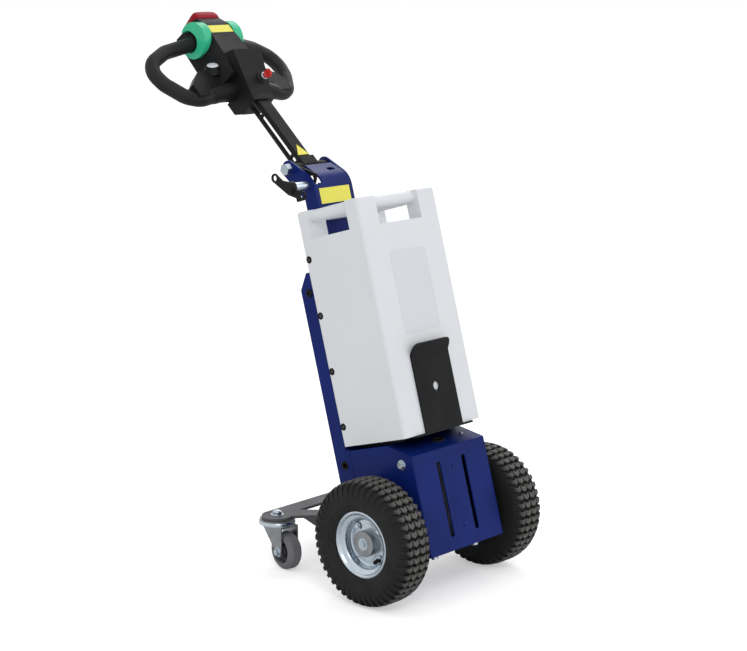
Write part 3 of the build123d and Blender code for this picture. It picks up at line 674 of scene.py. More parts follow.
def soft_copy(
    node: str,
    width: float,
    finish: Finish | None = None,
    segments: int = 2,
    angle: float = 32.0,
    cuts: Sequence[Piece] = (),
    melt: float = 0.0,
    swell: Matrix | None = None,
) -> Piece:
    """Stands a copy with broken edges in for a node.

    Args:
        node: The node to stand in for.
        width: Width of the broken edge in millimetres.
        finish: Its finish, where it isn't the slot's usual one.
        segments: Faces across the edge.
        angle: Edges sharper than this are broken, in degrees.
        cuts: Pieces that are cut out of it and then removed.
        melt: Mesh size in millimetres at which its corners are melted round, or nought for none.
        swell: What makes up for the size that melting takes off.

    Returns:
        The copy, dressed and seated.
    """
    source = frame["nodes"][node]
    body = source["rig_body"]
    slot = next(s["material_slot"] for s in frame["record"]["subparts"] if s["node"] == node)
    piece = copied(source)
    bpy.ops.object.parent_clear(type="CLEAR_KEEP_TRANSFORM")
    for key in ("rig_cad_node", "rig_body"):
        del piece[key]
    piece.data.materials.clear()
    bpy.ops.object.mode_set(mode="EDIT")
    bpy.ops.mesh.select_all(action="SELECT")
    bpy.ops.mesh.remove_doubles(threshold=NODE_MERGE)
    bpy.ops.mesh.dissolve_limited(angle_limit=NODE_FLAT)
    bpy.ops.object.mode_set(mode="OBJECT")
    for cutter in cuts:
        cut_out(piece, cutter)
    if melt:
        modify(piece, "REMESH", mode="VOXEL", voxel_size=melt * MM)
        modify(piece, "SMOOTH", factor=0.5, iterations=MELT_ROUNDS)
    if swell:
        placed(piece, swell)
    if width:
        limit = math.radians(angle)
        modify(piece, "BEVEL", width=width * MM, segments=segments, angle_limit=limit)
    dressed(piece, node + "_shell", body, finish or NODE_FINISH[slot])
    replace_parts(piece, node)
    return piece


def post(sides: int, radius: float, high: float) -> Piece:
    """Starts a cylinder that stands on the XY plane.

    Args:
        sides: Faces round it.
        radius: Its radius in millimetres.
        high: Its height.

    Returns:
        The cylinder.
    """
    bare()
    bpy.ops.mesh.primitive_cylinder_add(vertices=sides, radius=radius * MM, depth=high * MM)
    piece = started()
    piece.location.z = high / 2 * MM
    bpy.ops.object.transform_apply(location=True)
    return piece


def hex_head(flats: float, high: float, washer: float) -> Piece:
    """Models a hexagon head along Z, with a washer under it.

    Args:
        flats: Size across the flats in millimetres.
        high: Height of the head.
        washer: Radius of the washer.

    Returns:
        The head, standing on the XY plane, with the washer half sunk in it.
    """
    chamfer, crown, land, dish = 0.07 * flats, 0.12 * high, 0.12 * flats, 0.05 * high
    head = post(6, flats / math.sqrt(3), high)
    pick(head, lambda centre, normal: normal.z > 0.9)
    bpy.ops.mesh.inset(thickness=chamfer * MM, depth=0)
    bpy.ops.transform.translate(value=(0, 0, crown * MM))
    bpy.ops.mesh.inset(thickness=land * MM, depth=-dish * MM)
    bare()
    thick, edge = 1.6, 0.4
    bpy.ops.mesh.primitive_cylinder_add(vertices=28, radius=washer * MM, depth=thick * MM)
    ring = started()
    bevel_edges(ring, lambda a, b: abs(a.z - b.z) < 1e-7, edge, 2)
    return joined([head, ring])


def socket_head(radius: float, high: float) -> Piece:
    """Models a domed screw head with a round socket, along Z.

    Args:
        radius: Radius of the head in millimetres.
        high: Height of the head.

    Returns:
        The head, standing on the XY plane.
    """
    dome, land, socket = min(0.7 * high, 0.4 * radius), 0.12 * radius, 0.55 * high
    head = post(24, radius, high)
    bevel_edges(head, lambda a, b: min(a.z, b.z) > 0.9 * high * MM, dome, 3)
    pick(head, lambda centre, normal: normal.z > 0.99)
    bpy.ops.mesh.inset(thickness=land * MM, depth=0)
    bpy.ops.mesh.extrude_region_move(TRANSFORM_OT_translate={"value": (0, 0, -socket * MM)})
    close_up(head)
    return head


def facing(spot: Point, out: Point, base: Matrix) -> Matrix:
    """Works out a place whose Z points out of a surface.

    Args:
        spot: The point on the surface in millimetres, in the base frame.
        out: The surface's outward direction there.
        base: The frame that both are given in.

    Returns:
        The place.
    """
    turn = Vector(out).to_track_quat("Z", "Y").to_matrix().to_4x4()
    return base @ Matrix.Translation(Vector(spot) * MM) @ turn


def flanks(x: float, u: float, *heights: float) -> list[Matrix]:
    """Works out places on both sides of the leaning frame, facing out.

    Args:
        x: How far out the sides are, in millimetres.
        u: How far back the places are.
        *heights: How high they are.

    Returns:
        The places, the left side's first.
    """
    return [facing((s.value * x, u, v), (s.value, 0, 0), BODY) for s in Side for v in heights]


def frontward(spot: Point, base: Matrix) -> Matrix:
    """Works out a place for a plate on a face that looks to the front.

    Args:
        spot: The place's origin in millimetres, in the base frame.
        base: The frame that it is given in.

    Returns:
        The place.
    """
    return base @ Matrix.Translation(Vector(spot) * MM) @ Matrix.Rotation(math.pi / 2, 4, "X")


def scattered(
    master: Piece, places: Sequence[Matrix], name: str, body: str, finish: Finish
) -> None:
    """Copies a fitting to each of its places, and dresses the set as one piece.

    Args:
        master: The fitting, about the origin.
        places: Where the copies go.
        name: The set's name.
        body: The body that it moves with.
        finish: Its finish.
    """
    copies = [placed(copied(master), place) for place in places]
    bpy.data.objects.remove(master)
    dressed(joined(copies), name, body, finish)


@dataclass
class DriveWheel:
    """A lugged tyre on a pressed rim, with its hub cap, bolts and valve.

    Sizes are in millimetres, along X from the wheel's middle and out from its axle.
    """

    side: Side
    root: float = 122.6
    top: float = 129.6
    sunk: float = 2.0
    lugs: int = 46
    wall: Profile = (
        (30.0, 68.6), (34.6, 69.4), (37.6, 73.6), (38.5, 74.6), (38.3, 76.4), (39.8, 82.6),
        (40.8, 83.8), (40.5, 85.6), (41.0, 94.0), (40.6, 103.0), (39.0, 111.0), (36.6, 117.0),
        (33.4, 120.6), (28.0, 122.2), (14.0, 122.6), (0.0, 122.6),
    )
    arrow: Profile = (
        (1.5, -3.4), (9.4, -8.6), (17.3, -3.4), (17.3, 6.8), (9.4, 2.2), (1.5, 6.8),
    )
    block: Profile = (
        (19.8, -3.4), (25.0, -6.8), (36.0, -2.0), (36.0, 6.2), (25.0, 3.2), (19.8, 6.8),
    )
    block_foot: float = 119.8
    block_high: float = 9.0
    block_fall: float = 5.0
    # How far each step of a shoulder's rib goes out and down, and the share of its width kept
    rib: tuple[Spot, ...] = (
        (3.4, -6.0, 0.86), (1.5, -7.0, 0.82), (0.6, -8.0, 0.7),
    )
    sheet: float = 2.4
    rim_line: Profile = (
        (30.6, 68.2), (32.4, 67.4), (32.9, 65.6), (32.0, 64.0), (29.2, 62.6), (26.6, 60.2),
        (25.4, 56.6), (23.6, 53.4), (20.0, 51.6), (8.0, 50.8), (0.0, 50.8),
    )
    disc_line: Profile = (
        (14.0, 50.6), (9.0, 49.6), (6.4, 46.8), (6.0, 43.0), (6.6, 40.0), (6.6, 24.0),
    )
    cap_line: Profile = (
        (-30.0, 0.01), (-30.0, 24.0), (8.0, 26.0), (23.0, 27.0), (25.2, 26.2), (26.2, 24.0),
        (26.0, 15.0), (26.8, 13.6), (26.8, 0.01),
    )
    rim_bolts: int = 4
    bolt_circle: float = 40.0
    bolt_x: float = 10.0
    hub_r: float = 34.5
    hub_lobe: float = 4.5
    hub_x: float = 7.0
    hub_thick: float = 3.2
    shaft_end: float = 27.0
    cap_face: float = 26.8
    valve_at: Spot = (8.0, -28.0, -30.0)
    valve_lean: float = -18.0
    valve_line: Profile = (
        (0, 0.01), (0, 5.4), (3, 5.4), (7, 4.2), (15, 3.8), (15.5, 4.3), (21, 4.3), (22, 3.2),
        (22, 0.01),
    )

    @property
    def place(self) -> Matrix:
        """The wheel's centre, with X outwards."""
        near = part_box("tyre_" + self.side.word)
        return Matrix.Translation((near[0] + near[1]) / 2) @ self.side.mirror

    @property
    def body(self) -> str:
        """The body that turns with the wheel."""
        return "wheel_" + self.side.word

    def round_row(self, lug: Piece) -> Piece:
        """Repeats a lug round the wheel.

        Args:
            lug: One lug in its place at the top of the wheel.

        Returns:
            The whole row.
        """
        bare()
        bpy.ops.object.empty_add(rotation=(2 * math.pi / self.lugs, 0, 0))
        turn = started()
        modify(
            lug, "ARRAY", count=self.lugs,
            use_relative_offset=False, use_object_offset=True, offset_object=turn,
        )
        bpy.data.objects.remove(turn)
        return lug

    def chevron(self, side: int) -> Piece:
        """Models one arrow block of a middle row.

        Args:
            side: Which of the two middle rows it is for.

        Returns:
            The block at the top of the wheel.
        """
        middle = self.arrow[1][0] * side
        lug = plate([(x * side, y) for x, y in self.arrow], self.top - self.root + self.sunk)
        pick(lug, lambda centre, normal: normal.z > 0.9)
        bpy.ops.transform.resize(value=(0.92, 0.92, 1), center_override=(middle * MM, 0, 0))
        return placed(lug, Matrix.Translation((0, 0, (self.root - self.sunk) * MM)))

    def shoulder(self, side: int) -> Piece:
        """Models one shoulder block with the rib that runs down the side wall.

        Args:
            side: Which shoulder it is for.

        Returns:
            The block at the top of the wheel.
        """
        edge = max(x for x, _ in self.block) * MM
        high = (self.block_foot + self.block_high / 2) * MM
        lug = plate([(x * side, y) for x, y in self.block], self.block_high)
        lug = placed(lug, Matrix.Translation((0, 0, self.block_foot * MM)))
        pick(lug, lambda centre, normal: normal.z > 0.9)
        middle = (28 * side * MM, 2 * MM, 0)
        bpy.ops.transform.resize(value=(0.95, 0.92, 1), center_override=middle)
        outer = edge - 3 * MM
        pick_edges(lug, lambda a, b: min(a.z, b.z) > high and min(abs(a.x), abs(b.x)) > outer)
        bpy.ops.transform.translate(value=(0, 0, -self.block_fall * MM))
        pick(lug, lambda centre, normal: normal.x * side > 0.6 and abs(centre.x) > edge - 2 * MM)
        for out, down, slim in self.rib:
            step = (out * side * MM, 0, down * MM)
            bpy.ops.mesh.extrude_region_move(TRANSFORM_OT_translate={"value": step})
            bpy.ops.transform.resize(value=(1, slim, 0.8))
        close_up(lug)
        return lug

    def tyre(self) -> None:
        """Builds the carcass and its four rows of lugs, in place of the node."""
        rows = [lathe(both_halves(self.wall), steps=90)]
        for side in (-1, 1):
            rows.append(self.round_row(self.chevron(side)))
            rows.append(self.round_row(self.shoulder(side)))
        tread = placed(joined(rows), self.place)
        dressed(tread, "tyre_tread_" + self.side.word, self.body, TYRE, smooth=28.0)
        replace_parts(tread, "tyre_" + self.side.word)

    def hub_plate(self) -> Piece:
        """Models the lobed plate that the rim bolts hold.

        Returns:
            The plate, in its place on the disc.
        """
        line, steps = [], 48
        for k in range(steps):
            angle = 2 * math.pi * k / steps
            reach = self.hub_r + self.hub_lobe * math.cos(self.rim_bolts * angle)
            line.append((reach * math.cos(angle), reach * math.sin(angle)))
        hub = plate(line, self.hub_thick)
        bevel_edges(hub, lambda a, b: min(a.z, b.z) > (self.hub_thick - 0.2) * MM, 1.0, 2)
        seat = Matrix.Translation((self.hub_x * MM, 0, 0)) @ Matrix.Rotation(math.pi / 2, 4, "Y")
        return placed(hub, seat)

    def rim(self) -> None:
        """Builds the pressed rim with its disc, hub plate and cap, in place of the node."""
        barrel = lathe(both_halves(self.rim_line), steps=96)
        disc = lathe(self.disc_line, steps=96)
        for pressed in (barrel, disc):
            modify(pressed, "SOLIDIFY", thickness=self.sheet * MM, offset=0.0)
        hub = self.hub_plate()
        cap = placed(lathe(self.cap_line), self.place)
        dressed(cap, "hub_cap_" + self.side.word, self.body, ZINC_DULL)
        whole = placed(joined([barrel, disc, hub]), self.place)
        dressed(whole, "rim_pressed_" + self.side.word, self.body, ZINC)
        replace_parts(whole, "rim_" + self.side.word)

    def shaft(self) -> None:
        """Ends the shaft under the cap, whose face carries only a small bolt."""
        half = 40.0
        beyond = plate(rectangle(self.shaft_end, 60.0, -half, half), 2 * half)
        beyond = placed(beyond, self.place @ Matrix.Translation((0, 0, -half * MM)))
        soft_copy("axle_shaft_" + self.side.word, 0.6, cuts=[beyond])

    def fittings(self) -> None:
        """Adds the rim bolts, the centre bolt and the valve."""
        word, out = self.side.word, (1, 0, 0)
        spots = []
        for k in range(self.rim_bolts):
            angle = math.pi / 4 + 2 * math.pi * k / self.rim_bolts
            across, up = math.cos(angle) * self.bolt_circle, math.sin(angle) * self.bolt_circle
            spots.append(facing((self.bolt_x, across, up), out, self.place))
        scattered(hex_head(9.0, 4.0, 7.0), spots, "rim_bolts_" + word, self.body, ZINC)
        centre = [facing((self.cap_face, 0, 0), out, self.place)]
        scattered(hex_head(13.0, 4.4, 9.0), centre, "hub_bolt_" + word, self.body, ZINC)
        lean = Matrix.Rotation(math.radians(self.valve_lean), 4, "Z")
        seat = self.place @ Matrix.Translation(Vector(self.valve_at) * MM) @ lean
        dressed(placed(lathe(self.valve_line, 20), seat), "valve_" + word, self.body, RUBBER_AND_PAINTED_SHADE)

    def build(self) -> None:
        """Builds the whole wheel."""
        self.tyre()
        self.rim()
        self.shaft()
        self.fittings()


@dataclass
class Chassis:
    """The blue folded box, its back channel and fasteners, in the leaning frame."""

    edge: float = 1.0
    corner: float = 2.4
    side_x: float = 113.5
    slope: Spot = (0.0, -28.0, 60.5)
    panel_bolt: Pair = (-62.8, 137.2)
    flange_bolt: Pair = (96.0, 513.0)
    slope_screw: Spot = (82.0, -61.0, 165.6)
    skirt_x: Pair = (-91.6, 34.2)
    skirt: Pair = (-80.5, -56.0)
    grommet_at: Spot = (7.7, -61.7, 165.2)
    grommet_line: Profile = (
        (0, 9.5), (0, 13.5), (2.2, 13.0), (3.2, 11.5), (2.6, 9.8), (1.0, 9.0), (0.4, 0.01),
    )
    pin: Pair = (96.0, 150.0)
    pin_wall: float = 6.6
    # The black ring round the bore is painted shade, standing in for the dark inside of a wider bore; it
    # is nowhere narrower than the bore in the flange
    bore_shade_ring_line: Profile = (
        (-24.0, 5.4), (-4.2, 5.4), (-4.0, 5.9), (-0.4, 5.9), (0.1, 5.3), (1.0, 5.3), (1.4, 5.8),
        (1.2, 8.8), (0.2, 9.4), (-0.2, 9.0), (-0.2, 6.6), (-24.0, 6.6), (-24.0, 5.4),
    )

    def build(self) -> None:
        """Softens the folded sheets and adds the fasteners."""
        soft_copy("front_cover", self.edge)
        for side in Side:
            soft_copy("side_panel_" + side.word, self.corner, segments=3)
            # The wall of each flange's pin bore is painted black as shade
            self.paint_bore_shade(soft_copy("back_flange_" + side.word, self.edge))
        soft_copy("back_web", self.edge)
        soft_copy("base_plate", self.edge)
        self.fasteners()
        self.grommet()
        # Black rings round the hitch bores are painted shade
        self.hitch_bushes()

    def paint_bore_shade(self, flange: Piece) -> None:
        """Paints the wall of the pin's bore in the black rubber as painted shade, at the bore's own
        size.

        Args:
            flange: One of the back flanges.
        """
        flange.data.materials.append(RUBBER_AND_PAINTED_SHADE.material())
        middle = BODY @ (Vector((0, *self.pin)) * MM)
        for face in flange.data.polygons:
            reach = face.center - middle
            if math.hypot(reach.y, reach.z) < self.pin_wall * MM:
                face.material_index = 1

    def hitch_bushes(self) -> None:
        """Adds a black ring round the pin's bore in each back flange, as painted shade of the bore's
        dark inside.
        """
        u, v = self.pin
        places = [place @ UPRIGHT for place in flanks(self.side_x, u, v)]
        scattered(lathe(self.bore_shade_ring_line, 32), places, "hitch_bushes", "chassis", RUBBER_AND_PAINTED_SHADE)

    def fasteners(self) -> None:
        """Adds the bolts on the sides and flanges, and the screws of the front."""
        sides = flanks(self.side_x, *self.panel_bolt)
        scattered(hex_head(13.0, 6.0, 10.5), sides, "panel_bolts", "chassis", ZINC)
        flanges = flanks(self.side_x, *self.flange_bolt)
        scattered(socket_head(8.5, 5.0), flanges, "flange_bolts", "chassis", BLACK_COAT)
        slope = [facing(self.slope_screw, self.slope, BODY)]
        scattered(socket_head(4.0, 2.4), slope, "slope_screw", "chassis", ZINC)
        skirt = [facing((x, *self.skirt), (0, 0, -1), BODY) for x in self.skirt_x]
        scattered(hex_head(13.0, 5.0, 10.0), skirt, "skirt_bolts", "chassis", ZINC)

    def grommet(self) -> None:
        """Adds the oval rubber grommet on the sloped shoulder."""
        ring = placed(lathe(self.grommet_line, 32), UPRIGHT)
        ring = placed(ring, Matrix.Diagonal((1.35, 0.72, 1, 1)))
        ring = placed(ring, facing(self.grommet_at, self.slope, BODY))
        dressed(ring, "cable_grommet", "chassis", RUBBER_AND_PAINTED_SHADE)


@dataclass
class Battery:
    """The light lift-out case on its black tray, in the leaning frame."""

    half: float = 117.9
    front_u: float = -91.0
    screw_u: float = 74.0
    screws_v: tuple[float, ...] = (230.0, 346.0, 462.5, 580.0)
    # Flat black disc round each screw, painted shade of its countersink
    shade_disc_line: Profile = ((0.1, 0.01), (0.1, 5.6), (0.6, 6.4), (0.5, 7.4), (-0.4, 7.8))
    label: Limits = (-54.0, 54.0, 393.5, 562.0)
    label_thick: float = 0.6
    label_corner: float = 4.0

    def build(self) -> None:
        """Softens case and tray, and adds screws and the bare label plate."""
        soft_copy("battery_case", 2.6, segments=3, angle=40.0)
        soft_copy("battery_tray", 0.9)
        self.side_screws()
        self.label_plate()

    def side_screws(self) -> None:
        """Adds the countersunk screws down both sides, each on a flat black disc that is painted shade
        of its countersink.
        """
        heads = flanks(self.half, self.screw_u, *self.screws_v)
        # The black discs under the screws are painted shade
        shade_discs = [place @ UPRIGHT for place in heads]
        scattered(lathe(self.shade_disc_line, 24), shade_discs, "case_screw_cups", "chassis", RUBBER_AND_PAINTED_SHADE)
        scattered(socket_head(3.6, 1.2), heads, "case_screws", "chassis", GREY_ABS)

    def label_plate(self) -> None:
        """Adds the bare film plate on the front of the case."""
        film = plate(rectangle(*self.label), self.label_thick)
        upright = self.label_thick / 2 * MM
        bevel_edges(film, lambda a, b: abs(a.z - b.z) > upright, self.label_corner, 4)
        film = placed(film, frontward((0, self.front_u, 0), BODY))
        dressed(film, "case_label_plate", "chassis", FILM)


@dataclass
class Column:
    """The blue hood with its pivot, index sleeve and wing lever, in the leaning frame."""

    plate_box: Limits = (-47.0, 43.0, -16.5, 16.5)
    plate_at: Spot = (2.0, 77.0, 706.5)
    strip_box: Limits = (-55.6, -39.0, 699.0, 733.0)
    strip_u: float = 80.75
    sheet: float = 3.6
    index: Spot = (-106.0, 99.0, 733.5)
    lever_turn: float = 36.0
    lever_thick: float = 4.0
    # The lever's outline, arc by arc: middle, radius, start and end in degrees, next waist
    lever_arcs: tuple[tuple[float, float, float, float, Pair], ...] = (
        (48.0, 10.0, -100.0, 115.0, (26.0, 5.0)),
        (0.0, 12.5, 62.0, 118.0, (-20.0, 4.5)),
        (-37.0, 10.0, 65.0, 260.0, (0.0, -16.0)),
    )
    lever_eyes: Pair = (48.0, -37.0)
    eye_line: Profile = ((-2, 0.01), (-2, 5.6), (8, 5.6), (8, 0.01))
    boss_line: Profile = (
        (-6, 0.01), (-6, 9.5), (-5.4, 10.8), (-3, 11.8), (0.5, 13.6), (8, 14.0), (8, 0.01),
    )

    def build(self) -> None:
        """Softens the folded hood and the fittings on it."""
        soft_copy("column", 1.0)
        self.wing_lever()
        soft_copy("index_sleeve", 1.2)
        soft_copy("pivot_bolt", 1.4)
        film = placed(plate(rectangle(*self.plate_box), FILM_THICK), frontward(self.plate_at, BODY))
        dressed(film, "column_plate", "chassis", YELLOW)
        self.notch_strip()

    def wing_lever(self) -> None:
        """Builds the crescent lever with its boss and two eyes, in place of the node."""
        line, steps = [], 12
        for middle, radius, start, end, waist in self.lever_arcs:
            for k in range(steps + 1):
                angle = math.radians(start + (end - start) * k / steps)
                line.append((middle + radius * math.cos(angle), radius * math.sin(angle)))
            line.append(waist)
        blade = plate(line, self.lever_thick)
        for middle in self.lever_eyes:
            drill = lathe(self.eye_line, 24)
            cut_out(blade, placed(drill, Matrix.Translation((middle * MM, 0, 0)) @ UPRIGHT))
        modify(blade, "BEVEL", width=0.8 * MM, segments=2, angle_limit=math.radians(50))
        lever = joined([blade, placed(lathe(self.boss_line, 40), UPRIGHT)])
        turn = math.radians(self.lever_turn)
        east = Vector((0, math.cos(turn), math.sin(turn)))
        north = Vector((0, -math.sin(turn), math.cos(turn)))
        seat = Matrix((east, north, (1, 0, 0))).transposed().to_4x4()
        seat.translation = Vector(self.index) * MM
        lever = dressed(placed(lever, BODY @ seat), "wing_lever_cast", "chassis", BLACK_ABS)
        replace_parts(lever, "wing_lever")

    def notch_strip(self) -> None:
        """Closes the foot of the sector's notch with a strip of the same sheet."""
        strip = plate(rectangle(*self.strip_box), self.sheet)
        lip = (self.strip_box[3] - 1) * MM
        bevel_edges(strip, lambda a, b: min(a.y, b.y) > lip, 1.0, 2)
        strip = placed(strip, frontward((0, self.strip_u, 0), BODY))
        dressed(strip, "column_notch_strip", "chassis", BLUE)


@dataclass
class Tiller:
    """The tilting tube with its bracket, in the tiller's frame."""

    triangle: Profile = ((-16.5, 0.0), (16.5, 0.0), (0.0, 29.0))
    triangle_at: Spot = (0.0, -8.5, 28.0)

    def build(self) -> None:
        """Softens the tube and bracket and adds the bare yellow triangle."""
        soft_copy("tiller_bracket", 1.0)
        soft_copy("tiller_tube", 2.0, segments=3)
        film = placed(plate(self.triangle, FILM_THICK), frontward(self.triangle_at, TILLER))
        dressed(film, "tiller_triangle", "tiller", YELLOW)


@dataclass
class ControlHead:
    """Nose, wings, loop grips, paddles, buttons and key, in the tiller's frame."""

    plate_box: Limits = (-32.0, 32.0, -10.5, 10.5)
    plate_at: Spot = (0.0, -27.0, 388.0)
    chin_line: Profile = (
        (-60, 266), (12, 262), (34, 243), (100, 240), (100, 170), (-60, 170),
    )
    chin_x: float = 31.0
    chin_deep: float = 60.0
    taper_line: Profile = ((-80.0, 0.01), (-80.0, 22.0), (80.0, 22.0), (80.0, 0.01))
    taper_at: Spot = (0.0, 21.1, 401.8)
    button_foot: Spot = (0.0, 17.0, 432.0)
    button_swell: Spot = (1.09, 1.08, 1.09)
    sleeve_line: Profile = (
        (18.0, 0.01), (18.0, 17.6), (20.0, 18.6), (66.0, 18.6), (88.0, 17.8), (97.0, 16.8),
        (98.5, 15.4), (98.5, 0.01),
    )
    sleeve_at: Spot = (0.0, 10.8, 249.9)
    sleeve_splay: float = 10.4
    sleeve_drop: Pair = (8.0, 102.0)
    lock_at: Spot = (15.0, -27.9, 237.0)
    lock_out: Spot = (0.0, -1.0, -0.405)
    bezel_line: Profile = (
        (-2, 0.01), (-2, 14.4), (1.4, 14.4), (2.8, 13.4), (3.2, 11.6), (2.2, 9.2), (2.2, 0.01),
    )
    barrel_line: Profile = ((1.8, 0.01), (1.8, 8.2), (10.6, 8.2), (11.8, 7.2), (11.8, 0.01))
    bow_line: Profile = (
        (11.0, -4.5), (15.0, -9.0), (31.8, -9.0), (31.8, 9.0), (15.0, 9.0), (11.0, 4.5),
    )
    bow_thick: float = 4.0
    dome_at: Spot = (-56.0, 6.0, 311.0)
    dome_out: Spot = (-0.23, -0.84, 0.48)
    collar_line: Profile = (
        (-13.8, 0.01), (-13.8, 22.0), (-6.0, 18.0), (0.4, 14.8), (1.0, 14.0), (0.6, 13.2),
        (-1.0, 13.0), (-1.0, 0.01),
    )
    dome_line: Profile = (
        (-1.5, 0.01), (-1.5, 12.9), (0.8, 12.9), (2.0, 11.9), (3.0, 9.4), (3.6, 5.6), (3.8, 0.01),
    )

    def build(self) -> None:
        """Softens the mouldings and adds the small controls' details."""
        soft_copy("head_body", 2.2, segments=3, cuts=[self.chin_cut(side) for side in Side])
        soft_copy("key_box", 2.0, segments=3)
        taper = TILLER @ Matrix.Translation(Vector(self.taper_at) * MM)
        hollow = placed(lathe(self.taper_line, 64), taper)
        soft_copy("thumb_paddles", 3.6, segments=4, cuts=[hollow])
        foot = TILLER @ Matrix.Translation(Vector(self.button_foot) * MM)
        fuller = foot @ Matrix.Diagonal((*self.button_swell, 1)) @ foot.inverted()
        soft_copy("belly_button", 0.0, melt=2.6, swell=fuller)
        soft_copy("loop_grips", 0.0)
        soft_copy("head_socket", 1.5)
        film = plate(rectangle(*self.plate_box), FILM_THICK)
        film = placed(film, frontward(self.plate_at, TILLER))
        dressed(film, "nose_plate", "tiller", YELLOW)
        self.sleeves()
        self.lock()
        self.start_button()

    def chin_cut(self, side: Side) -> Piece:
        """Models what is cut from a lower corner of the nose, where the loop passes under it.

        Args:
            side: Which corner it is for.

        Returns:
            The cutter, in its place.
        """
        across = Matrix(((0, 0, 1, self.chin_x * MM), (1, 0, 0, 0), (0, 1, 0, 0), (0, 0, 0, 1)))
        return placed(plate(self.chin_line, self.chin_deep), TILLER @ side.mirror @ across)

    def sleeves(self) -> None:
        """Adds the thicker sleeve on the lower run of each loop, up to the key box."""
        splay = Matrix.Rotation(math.radians(self.sleeve_splay), 4, "Z")
        drop = Matrix.Rotation(math.atan2(*self.sleeve_drop), 4, "Y")
        run = Matrix.Translation(Vector(self.sleeve_at) * MM) @ splay @ drop
        places = [TILLER @ side.mirror @ run for side in Side]
        scattered(lathe(self.sleeve_line, 40), places, "loop_sleeves", "tiller", BLACK_ABS)

    def lock(self) -> None:
        """Builds the lock's bezel, barrel and key, in place of their nodes."""
        seat = facing(self.lock_at, self.lock_out, TILLER) @ UPRIGHT
        bezel = placed(lathe(self.bezel_line, 40), seat)
        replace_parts(dressed(bezel, "lock_bezel", "tiller", BLACK_ABS), "key_switch")
        barrel = placed(lathe(self.barrel_line, 32), seat)
        dressed(barrel, "lock_barrel", "tiller", ZINC)
        bow = plate(self.bow_line, self.bow_thick)
        neck = (self.bow_line[1][0] - 1) * MM
        bevel_edges(bow, lambda a, b: abs(a.z - b.z) > MM and min(a.x, b.x) > neck, 5.0, 4)
        modify(bow, "BEVEL", width=1.2 * MM, segments=3, angle_limit=math.radians(40))
        bow = placed(bow, seat @ Matrix.Translation((0, 0, -self.bow_thick / 2 * MM)))
        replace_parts(dressed(bow, "key_bow", "tiller", SCARLET), "key")

    def start_button(self) -> None:
        """Builds the low white dome in its black collar, in place of the node."""
        seat = facing(self.dome_at, self.dome_out, TILLER) @ UPRIGHT
        collar = placed(lathe(self.collar_line, 40), seat)
        dressed(collar, "side_button_collar", "tiller", BLACK_ABS)
        dome = placed(lathe(self.dome_line, 40), seat)
        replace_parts(dressed(dome, "side_button_dome", "tiller", WHITE), "side_button")


@dataclass
class Casters:
    """The carrier and its two swivel casters, level from the axle line."""

    swivel_x: float = 134.0
    swivel_y: float = 314.0
    axle_z: float = 130.0
    trail: float = 34.0
    heading: float = 10.0
    wheel_r: float = 40.0
    fork_out: float = 22.0
    race_line: Profile = (
        (92.6, 36.6), (92.8, 38.6), (93.6, 39.2), (98.4, 39.0), (100.0, 37.8), (100.2, 36.6),
        (92.6, 36.6),
    )
    washer_line: Profile = ((0, 0.01), (0, 10.0), (1.0, 10.0), (1.6, 9.2), (1.6, 0.01))
    cap_line: Profile = (
        (110.0, 0.01), (110.0, 14.2), (111.4, 14.2), (112.2, 13.2), (112.2, 9.2), (117.0, 9.0),
        (119.2, 7.4), (120.6, 4.0), (121.0, 0.01),
    )

    def build(self) -> None:
        """Softens the carrier, the forks and the wheels."""
        soft_copy("caster_carrier", 1.2, GREY_COAT)
        for side in Side:
            soft_copy("caster_fork_" + side.word, 1.0, ZINC_DULL)
            soft_copy("caster_tread_" + side.word, 2.0, segments=3)
            soft_copy("caster_hub_" + side.word, 0.8, GREY_ABS)
            self.swivel(side)
            self.axle_washers(side)
        self.king_caps()

    def foot(self, side: Side) -> Vector:
        """Gives the foot of a caster's swivel line on the floor, in millimetres."""
        return Vector((side.value * self.swivel_x, self.swivel_y, -self.axle_z))

    def pillar(self, side: Side) -> Matrix:
        """Gives the place at that foot, with X up the swivel line."""
        return LEVEL @ Matrix.Translation(self.foot(side) * MM) @ UPRIGHT

    def swivel(self, side: Side) -> None:
        """Adds the bright race round a caster's swivel ring.

        Args:
            side: Which caster it is for.
        """
        race = placed(lathe(self.race_line, 64), self.pillar(side))
        dressed(race, "swivel_race_" + side.word, "caster_" + side.word, ZINC)

    def axle_washers(self, side: Side) -> None:
        """Adds a washer under each nut of a caster's axle.

        Args:
            side: Which caster it is for.
        """
        turn = math.radians(self.heading)
        along = Vector((math.cos(turn), -math.sin(turn), 0))
        back = Vector((-self.trail * math.sin(turn), -self.trail * math.cos(turn), self.wheel_r))
        hub = self.foot(side) + back
        places = [
            facing(hub + along * self.fork_out * sign, along * sign, LEVEL) @ UPRIGHT
            for sign in (-1, 1)
        ]
        washer = lathe(self.washer_line, 32)
        scattered(washer, places, "axle_washers_" + side.word, "caster_" + side.word, ZINC)

    def king_caps(self) -> None:
        """Adds the broad washer and the domed top of each king bolt."""
        places = [self.pillar(side) for side in Side]
        scattered(lathe(self.cap_line, 36), places, "king_caps", "chassis", ZINC)


